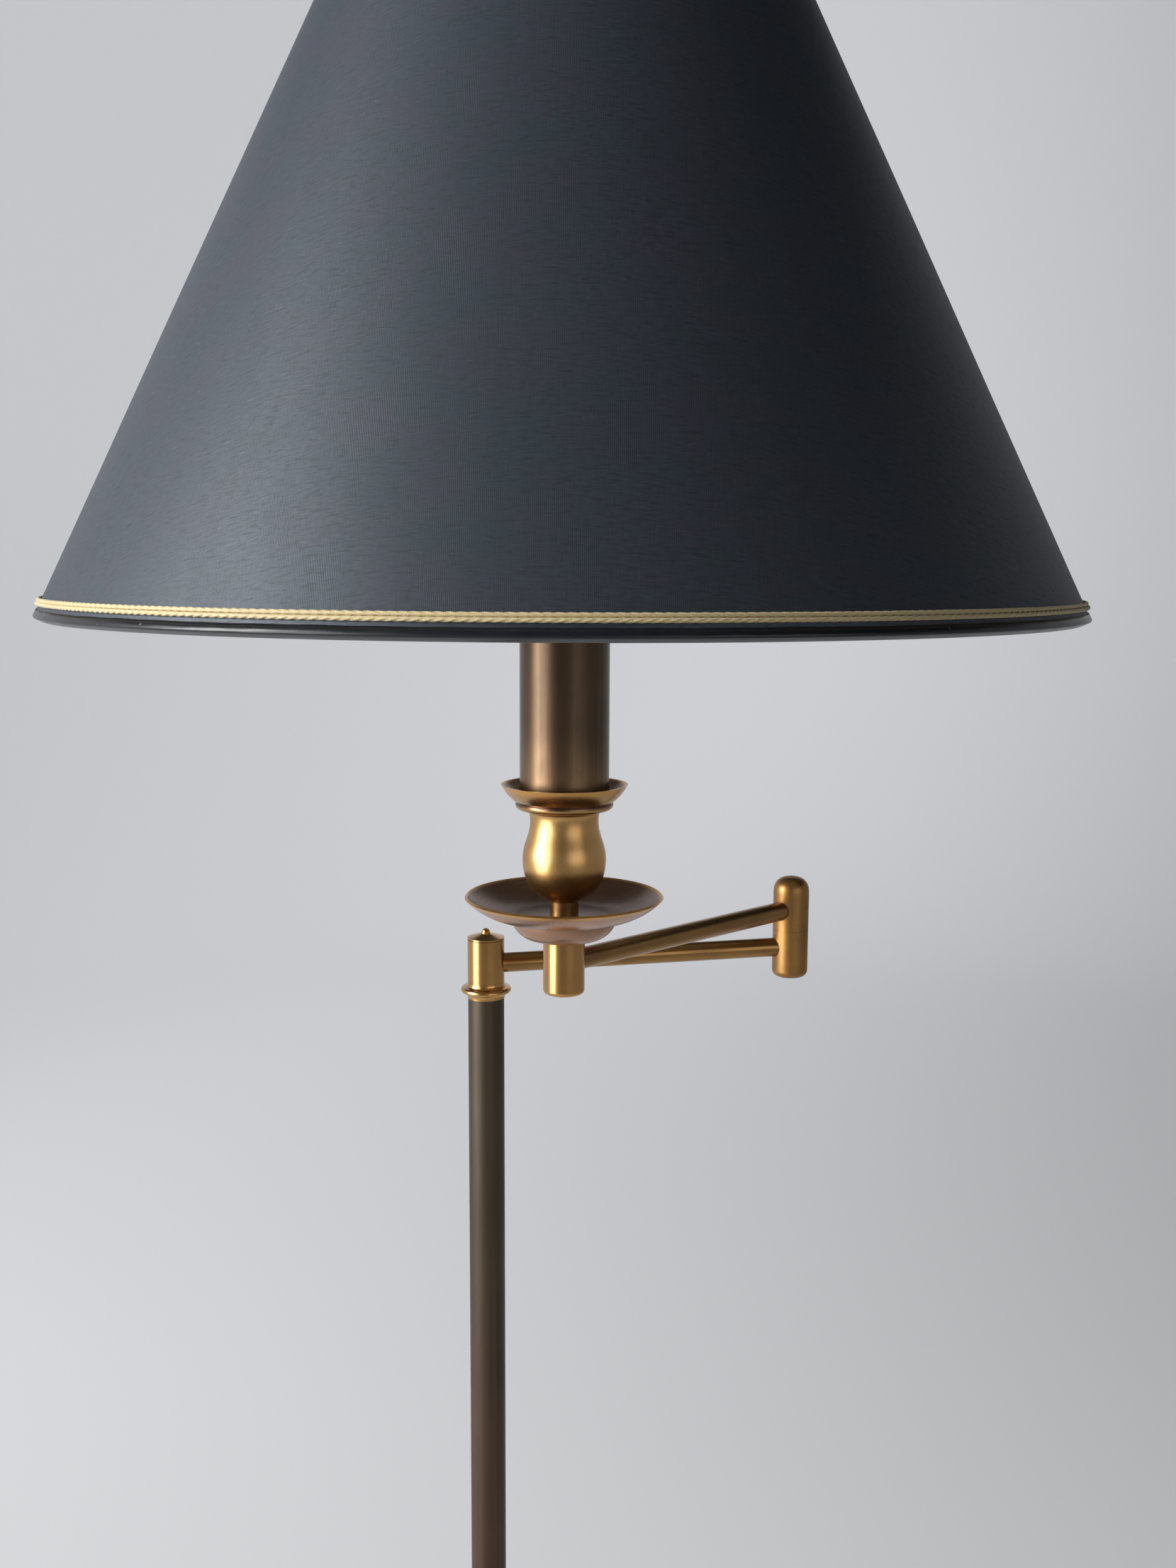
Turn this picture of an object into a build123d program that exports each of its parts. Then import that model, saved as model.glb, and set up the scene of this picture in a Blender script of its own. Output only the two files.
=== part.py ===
from build123d import *
import math
import os

# Double swing-arm floor lamp. Millimetres, +Z up, origin on the floor under the middle of the base.
# The viewer stands on the -Y side, with +X to the right.

# Fits
RUNNING_FIT = 0.05          # radial clearance of a pivot that turns in its bore
SEAT_FIT = 0.05             # radial clearance of a fixed piece in its seat
THRUST_GAP = 0.3            # free height between faces that turn past each other

# Base
BASE_DIAMETER = 260.0
BASE_WALL = 1.4
BASE_EDGE_HEIGHT = 16.0     # straight wall of the edge
BASE_SHOULDER = 6.0         # quarter round above the edge
BASE_LEDGE = 8.0            # flat ledge inside the quarter round
BASE_RISER = 4.0            # step up from the ledge to the dome
BASE_DOME_RISE = 20.0
BASE_DOME_CROWN = 4.0       # how far the dome bulges out of a straight cone
BASE_TOP_DIAMETER = 60.0    # flat top that carries the pole's seat
FELT_THICKNESS = 3.0
FELT_PROUD = 1.0            # the felt reaches this far below the shell
WEIGHT_GAP = 2.0            # free space between the weight and the shell's edge
WEIGHT_BOSS_MARGIN = 6.0    # the weight's boss stays this far inside the flat top
NUT_RECESS_DIAMETER = 32.0
NUT_RECESS_DEPTH = 18.0
CORD_CHANNEL_WIDTH = 12.0
CORD_CHANNEL_HEIGHT = 13.0

# Cord bushing in the back of the edge
BUSHING_BORE = 6.4
BUSHING_WALL = 1.2
BUSHING_FLANGE = 2.0        # the flange's overhang, and its thickness
BUSHING_REACH = 8.0

# Threaded pipe that clamps the base to the pole, and its fasteners
PIPE_DIAMETER = 10.0
PIPE_WALL = 1.5
PIPE_END = 2.0              # thread left free past a nut
CLAMP_WASHER_DIAMETER = 28.0
CLAMP_WASHER_THICKNESS = 1.6
CLAMP_NUT_FLATS = 16.0
CLAMP_NUT_HEIGHT = 5.0

# Pole and its turned seat
POLE_DIAMETER = 19.05
POLE_WALL = 1.2
SEAT_HEIGHT = 32.0
SEAT_FLANGE_DIAMETER = 50.0
SEAT_FLANGE_HEIGHT = 5.0
SEAT_SOCKET_DEPTH = 14.0
SEAT_LIP = 2.6              # wall of the seat round the pole
SEAT_BEAD = 2.4             # half height of the seat's bead, and its overhang

# Pole swivel
ARM_HEIGHT = 970.0          # the lower arm's axis above the floor
HUB_DIAMETER = 19.4
HUB_DROP = 8.8              # the hub's underside below the arm's axis
HUB_RISE = 13.3             # the hub's top above the arm's axis
PIVOT_DIAMETER = 10.0
PIVOT_WALL = 1.6
THRUST_WASHER_THICKNESS = 0.6
THRUST_WASHER_INSET = 0.2   # the washers' edges lie this far inside the hubs
COLLAR_HEIGHT = 8.6
COLLAR_CREST_DIAMETER = 26.4
COLLAR_CREST_RADIUS = 1.6
COLLAR_SPIGOT = 14.0
COLLAR_LIP = 0.4            # the collar's foot overhangs the pole
SPRING_DEPTH = 1.8          # recess for a disc spring
SPRING_THICKNESS = 0.7
CAP_EDGE = 0.8
CAP_CONE = 2.0
CAP_SOCKET = 1.6
CAP_TIP_DIAMETER = 4.8
CAP_TIP_HEIGHT = 2.6

# Arms
LOWER_ARM_LENGTH = 170.0    # pole axis to elbow axis
UPPER_ARM_LENGTH = 170.0    # elbow axis to head axis
LOWER_ARM_BEARING = 13.8    # degrees from +X
FOLD_ANGLE = 29.9           # degrees between the arms as photographed
ARM_OFFSET = 21.0           # the upper arm's axis above the lower arm's
ARM_DIAMETER = 10.3
ARM_WALL = 1.1
ARM_SEAT = 1.3              # metal between an arm's end and the bore of its hub
WIRE_WAY_DIAMETER = 5.0

# Elbow
KNUCKLE_DIAMETER = 19.4
LOWER_KNUCKLE_DROP = 16.6
LOWER_KNUCKLE_RISE = 9.9
UPPER_KNUCKLE_RISE = 9.5    # the upper knuckle's shoulder above the upper arm's axis
ELBOW_DOME_HEIGHT = 8.8
ELBOW_DOME_WALL = 2.0
ELBOW_FOOT_ROUND = 3.6
ELBOW_PIN_DIAMETER = 8.0
ELBOW_PIN_WALL = 1.4
ELBOW_NUT_FLATS = 11.0
ELBOW_NUT_HEIGHT = 2.6
ELBOW_PLUG_DIAMETER = 11.0
ELBOW_PLUG_HEIGHT = 3.0

# Head: turned and spun pieces stacked on a threaded pipe
HEAD_HUB_DIAMETER = 19.8
HEAD_HUB_DROP = 15.0
HEAD_HUB_RISE = 12.0
HEAD_HUB_ROUND = 2.0
HEAD_NUT_FLATS = 12.0
HEAD_NUT_HEIGHT = 3.2
HEAD_PLUG_HEIGHT = 2.6
FOOT_HEIGHT = 9.6
FOOT_BOTTOM_DIAMETER = 24.6
FOOT_TOP_DIAMETER = 50.0
FOOT_BULGE = 3.2
DISH_DIAMETER = 94.2
DISH_RISE = 10.8
DISH_WALL = 1.2
DISH_FLOOR_DIAMETER = 47.0
DISH_BOWL = 2.5             # how far the dish's flank bellies out of a straight cone
NECK_DIAMETER = 13.6
NECK_LENGTH = 7.4
VASE_HEIGHT = 42.4
VASE_FOOT_DIAMETER = 15.0
VASE_BELLY_DIAMETER = 39.4
VASE_BELLY_HEIGHT = 20.0
VASE_NECK_DIAMETER = 32.2
VASE_NECK_HEIGHT = 38.2
VASE_LIP_DIAMETER = 33.6
CUP_BASE_HEIGHT = 7.3
CUP_BEAD_OVERHANG = 2.1     # the bead stands out this far from the candle tube
CUP_BEAD_RADIUS = 2.2
CUP_GROOVE = 0.5            # depth of the groove between the bead and the flare
CUP_FLARE_STEP = 1.2        # the flare's foot stands out this far from the groove
CUP_RIM_DIAMETER = 59.3
CUP_FLARE_HEIGHT = 5.8
CUP_WALL = 1.1
CUP_FLARE_BOW = 0.5         # how far the flare bellies out
TUBE_DIAMETER = 41.8
TUBE_LENGTH = 104.0
TUBE_WALL = 1.0
TUBE_CAP_THICKNESS = 2.0
TUBE_CAP_SPIGOT = 4.0

# Harp, saddle and finial
SADDLE_SPAN = 52.0          # between the upright tabs
SADDLE_THICKNESS = 1.6
SADDLE_WIDTH = 14.0
SADDLE_TAB_WIDTH = 6.0
SADDLE_TAB_HEIGHT = 14.0
HARP_HEIGHT = 262.0         # saddle to the shade's seat
HARP_WIDTH = 116.0
HARP_WIRE_DIAMETER = 4.0
HARP_GRIP = 18.0            # straight foot of each leg
HARP_FLARE_HEIGHT = 52.0
HARP_SHOULDER_DROP = 66.0   # the sides turn in this far below the seat
HARP_BEND_RADIUS = 26.0
HARP_BOSS_DIAMETER = 12.0
HARP_BOSS_HEIGHT = 8.0
STUD_DIAMETER = 6.35
STUD_LENGTH = 12.0
SLEEVE_WALL = 1.0
SLEEVE_LENGTH = 13.0
SLEEVE_SLACK = 0.15
FINIAL_FOOT_DIAMETER = 14.0
FINIAL_FOOT_HEIGHT = 3.0
FINIAL_NECK_DIAMETER = 9.6
FINIAL_NECK_HEIGHT = 12.0
FINIAL_KNOB_DIAMETER = 17.0
FINIAL_HEIGHT = 31.0

# Socket, switch and bulb
SOCKET_DIAMETER = 35.0
SOCKET_WALL = 0.7
SOCKET_CAP_HEIGHT = 18.0
SOCKET_CAP_ROUND = 8.0
SOCKET_CAP_BOSS_DIAMETER = 16.0
SOCKET_CAP_BOSS_HEIGHT = 7.0
SOCKET_LAP = 8.0            # the shell goes this far into the cap
SOCKET_SHELL_HEIGHT = 44.0
LINER_THICKNESS = 0.7
SCREW_SHELL_DIAMETER = 27.6
SCREW_SHELL_WALL = 0.5
SCREW_SHELL_HEIGHT = 20.0
CONTACT_DIAMETER = 9.0
CONTACT_HEIGHT = 1.4
KEY_RISE = 5.0              # the switch stem above the cap's edge
KEY_COVER = 3.0             # body left over the switch stem
KEY_STEM_DIAMETER = 4.0
KEY_STEM_INSERT = 6.0       # the stem's hold in the socket body
KEY_HOLE_GAP = 0.4
KEY_STANDOFF = 3.0
KEY_DIAMETER = 11.0
KEY_LENGTH = 13.0
KEY_FLUTES = 10
KEY_FLUTE_DIAMETER = 2.4
BULB_BASE_GAP = 0.25
BULB_BASE_HEIGHT = 25.0
BULB_TIP_HEIGHT = 4.0
BULB_DIAMETER = 60.0
BULB_NECK_DIAMETER = 25.0
BULB_NECK_HEIGHT = 12.0
BULB_FLARE_HEIGHT = 34.0    # neck to the widest line
BULB_GLASS_WALL = 0.9

# Shade
SHADE_BOTTOM_DIAMETER = 462.0
SHADE_TOP_DIAMETER = 180.0
SHADE_HEIGHT = 296.0
COVER_THICKNESS = 0.8
BACKING_THICKNESS = 0.5
SHADE_WIRE_DIAMETER = 3.2
SPIDER_DROP = 12.0          # the spider's washer below the shade's top edge
SPIDER_WASHER_DIAMETER = 25.0
SPIDER_WASHER_THICKNESS = 2.0
SPIDER_HOLE_GAP = 0.4
SPIDER_SPOKES = 3
SPIDER_SPOKE_BEARING = 90.0
SPIDER_SPOKE_START = 10.0
SPIDER_KINK = 18.0          # the spokes rise over this last stretch
SPIDER_BEND_RADIUS = 10.0
TAPE_THICKNESS = 0.35
TAPE_OUTER_WIDTH = 3.6
TAPE_INNER_WIDTH = 8.0
TRIM_EDGE = 5.3             # lower edge of the cord trim above the shade's edge
TRIM_CORD_DIAMETER = 2.2
TRIM_CORDS = 2
TRIM_CORD_GAP = 0.05

# Heights and places that follow from the sizes above
base_radius = BASE_DIAMETER / 2
edge_bottom = FELT_PROUD
edge_top = edge_bottom + BASE_EDGE_HEIGHT
ledge_height = edge_top + BASE_SHOULDER
base_top = ledge_height + BASE_RISER + BASE_DOME_RISE
dome_radius = base_radius - BASE_SHOULDER - BASE_LEDGE
cord_height = edge_bottom + BASE_EDGE_HEIGHT / 2
recess_top = FELT_THICKNESS + NUT_RECESS_DEPTH
clamp_nut_top = recess_top - CLAMP_WASHER_THICKNESS
pipe_bottom = clamp_nut_top - CLAMP_NUT_HEIGHT - PIPE_END

pipe_radius = PIPE_DIAMETER / 2
pipe_seat = pipe_radius + SEAT_FIT
pole_radius = POLE_DIAMETER / 2
seat_top = base_top + SEAT_HEIGHT
pole_bottom = seat_top - SEAT_SOCKET_DEPTH

hub_radius = HUB_DIAMETER / 2
hub_bottom = ARM_HEIGHT - HUB_DROP
hub_top = ARM_HEIGHT + HUB_RISE
collar_top = hub_bottom - THRUST_WASHER_THICKNESS
collar_bottom = collar_top - COLLAR_HEIGHT
pivot_radius = PIVOT_DIAMETER / 2
pivot_bore = pivot_radius + RUNNING_FIT
cap_bottom = hub_top + THRUST_GAP

arm_radius = ARM_DIAMETER / 2
arm_socket = arm_radius + SEAT_FIT
upper_axis = ARM_HEIGHT + ARM_OFFSET
lower_bearing = math.radians(LOWER_ARM_BEARING)
upper_bearing = math.radians(LOWER_ARM_BEARING + 180 + FOLD_ANGLE)
lower_way = (math.cos(lower_bearing), math.sin(lower_bearing), 0)
upper_way = (math.cos(upper_bearing), math.sin(upper_bearing), 0)
pole_place = (0.0, 0.0)
elbow_place = (LOWER_ARM_LENGTH * lower_way[0], LOWER_ARM_LENGTH * lower_way[1])
head_place = (
    elbow_place[0] + UPPER_ARM_LENGTH * upper_way[0],
    elbow_place[1] + UPPER_ARM_LENGTH * upper_way[1],
)
head_axis = Axis((*head_place, 0), (0, 0, 1))
elbow_axis = Axis((*elbow_place, 0), (0, 0, 1))

knuckle_radius = KNUCKLE_DIAMETER / 2
elbow_bottom = ARM_HEIGHT - LOWER_KNUCKLE_DROP
elbow_split = ARM_HEIGHT + LOWER_KNUCKLE_RISE
upper_knuckle_bottom = elbow_split + THRUST_WASHER_THICKNESS
upper_knuckle_top = upper_axis + UPPER_KNUCKLE_RISE
elbow_pin_radius = ELBOW_PIN_DIAMETER / 2
elbow_plug_top = elbow_bottom + ELBOW_PLUG_HEIGHT
elbow_recess = upper_knuckle_top - SPRING_DEPTH
elbow_nut_bottom = upper_knuckle_top + THRUST_GAP
elbow_nut_top = elbow_nut_bottom + ELBOW_NUT_HEIGHT
elbow_recess_radius = (elbow_pin_radius + knuckle_radius) / 2

head_hub_radius = HEAD_HUB_DIAMETER / 2
head_hub_bottom = upper_axis - HEAD_HUB_DROP
head_hub_top = upper_axis + HEAD_HUB_RISE
head_recess_radius = (pipe_radius + head_hub_radius) / 2
head_plug_top = head_hub_bottom + HEAD_PLUG_HEIGHT
head_nut_bottom = head_plug_top + PIPE_END
head_nut_top = head_nut_bottom + HEAD_NUT_HEIGHT
foot_top = head_hub_top + FOOT_HEIGHT
neck_bottom = foot_top + DISH_WALL
vase_bottom = neck_bottom + NECK_LENGTH
cup_bottom = vase_bottom + VASE_HEIGHT
cup_floor = cup_bottom + CUP_BASE_HEIGHT
tube_radius = TUBE_DIAMETER / 2
tube_top = cup_floor + TUBE_LENGTH
saddle_bottom = tube_top + TUBE_CAP_THICKNESS
saddle_top = saddle_bottom + SADDLE_THICKNESS

socket_radius = SOCKET_DIAMETER / 2
socket_shell_radius = socket_radius - SOCKET_WALL - SEAT_FIT
liner_radius = socket_shell_radius - SOCKET_WALL - SEAT_FIT
socket_body_radius = liner_radius - LINER_THICKNESS - SEAT_FIT
socket_shell_bottom = saddle_top + SOCKET_CAP_HEIGHT - SOCKET_LAP
socket_shell_top = socket_shell_bottom + SOCKET_SHELL_HEIGHT
socket_body_bottom = saddle_top + SOCKET_CAP_BOSS_HEIGHT
key_height = saddle_top + SOCKET_CAP_HEIGHT + KEY_RISE
socket_body_top = key_height + KEY_STEM_DIAMETER / 2 + KEY_COVER
contact_top = socket_body_top + CONTACT_HEIGHT
bulb_base_radius = SCREW_SHELL_DIAMETER / 2 - SCREW_SHELL_WALL - BULB_BASE_GAP
bulb_base_top = contact_top + BULB_BASE_HEIGHT

shade_seat = saddle_top + HARP_HEIGHT
shade_top = shade_seat + SPIDER_DROP
shade_bottom = shade_top - SHADE_HEIGHT
shade_run = (SHADE_BOTTOM_DIAMETER - SHADE_TOP_DIAMETER) / 2
slant = math.hypot(shade_run, SHADE_HEIGHT)
wire_radius = SHADE_WIRE_DIAMETER / 2
backing_out = -COVER_THICKNESS - SEAT_FIT
ring_out = backing_out - BACKING_THICKNESS - SEAT_FIT - wire_radius
tape_inside = ring_out - wire_radius - SEAT_FIT
trim_radius = TRIM_CORD_DIAMETER / 2


def upright(place):
    """Vertical plane through a turned piece's axis: x is the radius and y the height above the floor."""
    return Plane(origin=(*place, 0), x_dir=(1, 0, 0), z_dir=(0, -1, 0))


def level(place, height):
    """Horizontal plane over a place, at a height above the floor."""
    return Plane(origin=(*place, height))


def ring(label, place, bottom, height, outer, inner):
    """Plain ring or tube that stands upright."""
    with BuildPart() as piece:
        with BuildSketch(level(place, bottom)):
            Circle(outer)
            Circle(inner, mode=Mode.SUBTRACT)
        extrude(amount=height)
    piece.part.label = label
    return piece


def hex_nut(label, place, bottom, height, flats, bore):
    """Hexagon nut on an upright thread."""
    with BuildPart() as piece:
        with BuildSketch(level(place, bottom)):
            RegularPolygon(radius=flats / 2, side_count=6, major_radius=False)
            Circle(bore, mode=Mode.SUBTRACT)
        extrude(amount=height)
    piece.part.label = label
    return piece


def disc_spring(label, place, low, high, outer, inner):
    """Conical spring washer: its outer edge is low and its inner edge high."""
    with BuildPart() as piece:
        with BuildSketch(upright(place)):
            with BuildLine():
                Polyline(
                    (outer, low),
                    (outer, low + SPRING_THICKNESS),
                    (inner, high),
                    (inner, high - SPRING_THICKNESS),
                    close=True,
                )
            make_face()
        revolve(axis=Axis((*place, 0), (0, 0, 1)))
    piece.part.label = label
    return piece


def arm_tube(label, place, height, way, start, end):
    """Arm tube along a way, between two distances from the place."""
    with BuildPart() as piece:
        origin = (place[0] + start * way[0], place[1] + start * way[1], height)
        with BuildSketch(Plane(origin=origin, z_dir=way)):
            Circle(arm_radius)
            Circle(arm_radius - ARM_WALL, mode=Mode.SUBTRACT)
        extrude(amount=end - start)
    piece.part.label = label
    return piece


def on_slant(along, out):
    """Radius and height of a point up the shade's slant, and out from the cover's outer face."""
    radius = SHADE_BOTTOM_DIAMETER / 2 - along * shade_run / slant + out * SHADE_HEIGHT / slant
    height = shade_bottom + along * SHADE_HEIGHT / slant + out * shade_run / slant
    return (radius, height)


def shade_skin(label, out, thickness):
    """One layer of the shade's cone, from edge to edge."""
    with BuildPart() as piece:
        with BuildSketch(upright(head_place)):
            with BuildLine():
                Polyline(
                    on_slant(0, out),
                    on_slant(slant, out),
                    on_slant(slant, out - thickness),
                    on_slant(0, out - thickness),
                    close=True,
                )
            make_face()
        revolve(axis=head_axis)
    piece.part.label = label
    return piece


def binding(label, edge, inward, notches=0):
    """Tape folded over an edge of the shade and round its wire, notched for the spokes that reach the wire.

    Inward is +1 from the bottom edge upwards and -1 from the top edge downwards.
    """
    outside = SEAT_FIT + TAPE_THICKNESS
    inside = tape_inside - TAPE_THICKNESS
    with BuildPart() as piece:
        with BuildSketch(upright(head_place)):
            with BuildLine():
                Polyline(
                    on_slant(edge + inward * TAPE_OUTER_WIDTH, SEAT_FIT),
                    on_slant(edge + inward * TAPE_OUTER_WIDTH, outside),
                    on_slant(edge - inward * outside, outside),
                    on_slant(edge - inward * outside, inside),
                    on_slant(edge + inward * TAPE_INNER_WIDTH, inside),
                    on_slant(edge + inward * TAPE_INNER_WIDTH, tape_inside),
                    on_slant(edge - inward * SEAT_FIT, tape_inside),
                    on_slant(edge - inward * SEAT_FIT, SEAT_FIT),
                    close=True,
                )
            make_face()
        revolve(axis=head_axis)
        if notches:
            with BuildSketch(level(head_place, shade_seat)):
                with PolarLocations(top_ring_radius / 2, notches, start_angle=SPIDER_SPOKE_BEARING):
                    Rectangle(top_ring_radius, SHADE_WIRE_DIAMETER + 2 * TAPE_THICKNESS)
            extrude(amount=top_ring_height + SHADE_WIRE_DIAMETER - shade_seat, mode=Mode.SUBTRACT)
    piece.part.label = label
    return piece


def cord_trim(label, edge, inward):
    """Gold cords laid side by side round the shade, just inside the binding."""
    pitch = TRIM_CORD_DIAMETER + TRIM_CORD_GAP
    with BuildPart() as piece:
        with BuildSketch(upright(head_place)):
            for count in range(TRIM_CORDS):
                along = edge + inward * (TRIM_EDGE + trim_radius + count * pitch)
                with Locations(on_slant(along, SEAT_FIT + trim_radius)):
                    Circle(trim_radius)
        revolve(axis=head_axis)
    piece.part.label = label
    return piece


# Base
with BuildPart() as base_felt:
    with BuildSketch():
        Circle(base_radius - BASE_WALL - SEAT_FIT)
    extrude(amount=FELT_THICKNESS)
base_felt.part.label = "base_felt"

with BuildPart() as base_shell:
    with BuildSketch(upright(pole_place)):
        with BuildLine():
            Polyline((0, edge_bottom), (base_radius, edge_bottom), (base_radius, edge_top))
            RadiusArc((base_radius, edge_top), (base_radius - BASE_SHOULDER, ledge_height), -BASE_SHOULDER)
            Polyline(
                (base_radius - BASE_SHOULDER, ledge_height),
                (dome_radius, ledge_height),
                (dome_radius, ledge_height + BASE_RISER),
            )
            SagittaArc(
                (dome_radius, ledge_height + BASE_RISER),
                (BASE_TOP_DIAMETER / 2, base_top),
                -BASE_DOME_CROWN,
            )
            Polyline((BASE_TOP_DIAMETER / 2, base_top), (0, base_top), (0, edge_bottom))
        make_face()
    revolve(axis=Axis.Z)
    offset(amount=-BASE_WALL, openings=base_shell.faces().sort_by(Axis.Z)[0])
    with BuildSketch(level(pole_place, base_top)):
        Circle(pipe_seat)
    extrude(amount=-2 * BASE_WALL, mode=Mode.SUBTRACT)
    with BuildSketch(Plane(origin=(0, base_radius, cord_height), z_dir=(0, 1, 0))):
        Circle(BUSHING_BORE / 2 + BUSHING_WALL + SEAT_FIT)
    extrude(amount=-BUSHING_REACH, mode=Mode.SUBTRACT)
base_shell.part.label = "base_shell"

weight_radius = base_radius - BASE_WALL - WEIGHT_GAP
with BuildPart() as base_weight:
    with BuildSketch(upright(pole_place)):
        with BuildLine():
            Polyline(
                (pipe_seat, FELT_THICKNESS),
                (weight_radius, FELT_THICKNESS),
                (weight_radius, edge_top - WEIGHT_GAP),
                (dome_radius - WEIGHT_GAP, edge_top),
                (BASE_TOP_DIAMETER / 2 - WEIGHT_BOSS_MARGIN, base_top - BASE_WALL),
                (pipe_seat, base_top - BASE_WALL),
                close=True,
            )
        make_face()
    revolve(axis=Axis.Z)
    with BuildSketch(level(pole_place, FELT_THICKNESS)):
        Circle(NUT_RECESS_DIAMETER / 2)
    extrude(amount=NUT_RECESS_DEPTH, mode=Mode.SUBTRACT)
    with BuildSketch(level(pole_place, FELT_THICKNESS)):
        with Locations((0, base_radius / 2)):
            Rectangle(CORD_CHANNEL_WIDTH, base_radius)
    extrude(amount=CORD_CHANNEL_HEIGHT, mode=Mode.SUBTRACT)
base_weight.part.label = "base_weight"

with BuildPart() as cord_bushing:
    with BuildSketch(Plane(origin=(0, base_radius + BUSHING_FLANGE, cord_height), z_dir=(0, 1, 0))):
        Circle(BUSHING_BORE / 2 + BUSHING_WALL)
    extrude(amount=-BUSHING_REACH - BUSHING_FLANGE)
    with BuildSketch(Plane(origin=(0, base_radius, cord_height), z_dir=(0, 1, 0))):
        Circle(BUSHING_BORE / 2 + BUSHING_WALL + BUSHING_FLANGE)
    extrude(amount=BUSHING_FLANGE)
    fillet(cord_bushing.edges().sort_by(Axis.Y)[-1], radius=BUSHING_FLANGE / 2)
    with BuildSketch(Plane(origin=(0, base_radius + BUSHING_FLANGE, cord_height), z_dir=(0, 1, 0))):
        Circle(BUSHING_BORE / 2)
    extrude(amount=-BUSHING_REACH - BUSHING_FLANGE, mode=Mode.SUBTRACT)
cord_bushing.part.label = "cord_bushing"

clamp_washer = ring(
    "clamp_washer", pole_place, clamp_nut_top, CLAMP_WASHER_THICKNESS, CLAMP_WASHER_DIAMETER / 2, pipe_seat
)
clamp_nut = hex_nut(
    "clamp_nut", pole_place, clamp_nut_top - CLAMP_NUT_HEIGHT, CLAMP_NUT_HEIGHT, CLAMP_NUT_FLATS, pipe_seat
)

# Pole
pole_pipe = ring(
    "pole_pipe", pole_place, pipe_bottom, collar_bottom - pipe_bottom, pipe_radius, pipe_radius - PIPE_WALL
)
pole_tube = ring(
    "pole_tube", pole_place, pole_bottom, collar_bottom - pole_bottom, pole_radius, pole_radius - POLE_WALL
)

seat_neck = pole_radius + SEAT_FIT + SEAT_LIP
seat_bead_height = seat_top - SEAT_SOCKET_DEPTH / 2
with BuildPart() as pole_seat:
    with BuildSketch(upright(pole_place)):
        with BuildLine():
            Polyline(
                (seat_neck, seat_bead_height + SEAT_BEAD),
                (seat_neck - SEAT_LIP / 2, seat_top),
                (pole_radius + SEAT_FIT, seat_top),
                (pole_radius + SEAT_FIT, pole_bottom),
                (pipe_seat, pole_bottom),
                (pipe_seat, base_top),
                (SEAT_FLANGE_DIAMETER / 2 - SEAT_FLANGE_HEIGHT / 2, base_top),
            )
            ThreePointArc(
                (SEAT_FLANGE_DIAMETER / 2 - SEAT_FLANGE_HEIGHT / 2, base_top),
                (SEAT_FLANGE_DIAMETER / 2, base_top + SEAT_FLANGE_HEIGHT / 2),
                (SEAT_FLANGE_DIAMETER / 2 - SEAT_FLANGE_HEIGHT / 2, base_top + SEAT_FLANGE_HEIGHT),
            )
            Spline(
                (SEAT_FLANGE_DIAMETER / 2 - SEAT_FLANGE_HEIGHT / 2, base_top + SEAT_FLANGE_HEIGHT),
                (seat_neck, seat_bead_height - SEAT_BEAD),
                tangents=[(-1, 0), (0, 1)],
            )
            ThreePointArc(
                (seat_neck, seat_bead_height - SEAT_BEAD),
                (seat_neck + SEAT_BEAD, seat_bead_height),
                (seat_neck, seat_bead_height + SEAT_BEAD),
            )
        make_face()
    revolve(axis=Axis.Z)
pole_seat.part.label = "pole_seat"

# Pole swivel
crest_radius = COLLAR_CREST_DIAMETER / 2
crest_height = (collar_top + collar_bottom) / 2
with BuildPart() as pole_collar:
    with BuildSketch(upright(pole_place)):
        with BuildLine():
            Polyline(
                (pole_radius + COLLAR_LIP, collar_bottom),
                (pole_radius - POLE_WALL - SEAT_FIT, collar_bottom),
                (pole_radius - POLE_WALL - SEAT_FIT, collar_bottom - COLLAR_SPIGOT),
                (0, collar_bottom - COLLAR_SPIGOT),
                (0, collar_top),
                (hub_radius, collar_top),
            )
            Spline(
                (hub_radius, collar_top),
                (crest_radius - COLLAR_CREST_RADIUS, crest_height + COLLAR_CREST_RADIUS),
                tangents=[(0, -1), (1, 0)],
            )
            ThreePointArc(
                (crest_radius - COLLAR_CREST_RADIUS, crest_height + COLLAR_CREST_RADIUS),
                (crest_radius, crest_height),
                (crest_radius - COLLAR_CREST_RADIUS, crest_height - COLLAR_CREST_RADIUS),
            )
            Spline(
                (crest_radius - COLLAR_CREST_RADIUS, crest_height - COLLAR_CREST_RADIUS),
                (pole_radius + COLLAR_LIP, collar_bottom),
                tangents=[(-1, 0), (0, -1)],
            )
        make_face()
    revolve(axis=Axis.Z)
    with BuildSketch(level(pole_place, collar_bottom)):
        Circle(pipe_seat)
    extrude(amount=-COLLAR_SPIGOT, mode=Mode.SUBTRACT)
    with BuildSketch(level(pole_place, collar_bottom)):
        Circle(pivot_radius + SEAT_FIT)
    extrude(amount=COLLAR_HEIGHT, mode=Mode.SUBTRACT)
pole_collar.part.label = "pole_collar"

with BuildPart() as pivot_stem:
    with BuildSketch(level(pole_place, collar_bottom)):
        Circle(pivot_radius)
        Circle(pivot_radius - PIVOT_WALL, mode=Mode.SUBTRACT)
    extrude(amount=cap_bottom + CAP_SOCKET - collar_bottom)
    with BuildSketch(Plane(origin=(0, 0, ARM_HEIGHT), z_dir=lower_way)):
        Circle(WIRE_WAY_DIAMETER / 2)
    extrude(amount=PIVOT_DIAMETER, mode=Mode.SUBTRACT)
pivot_stem.part.label = "pivot_stem"

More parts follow.
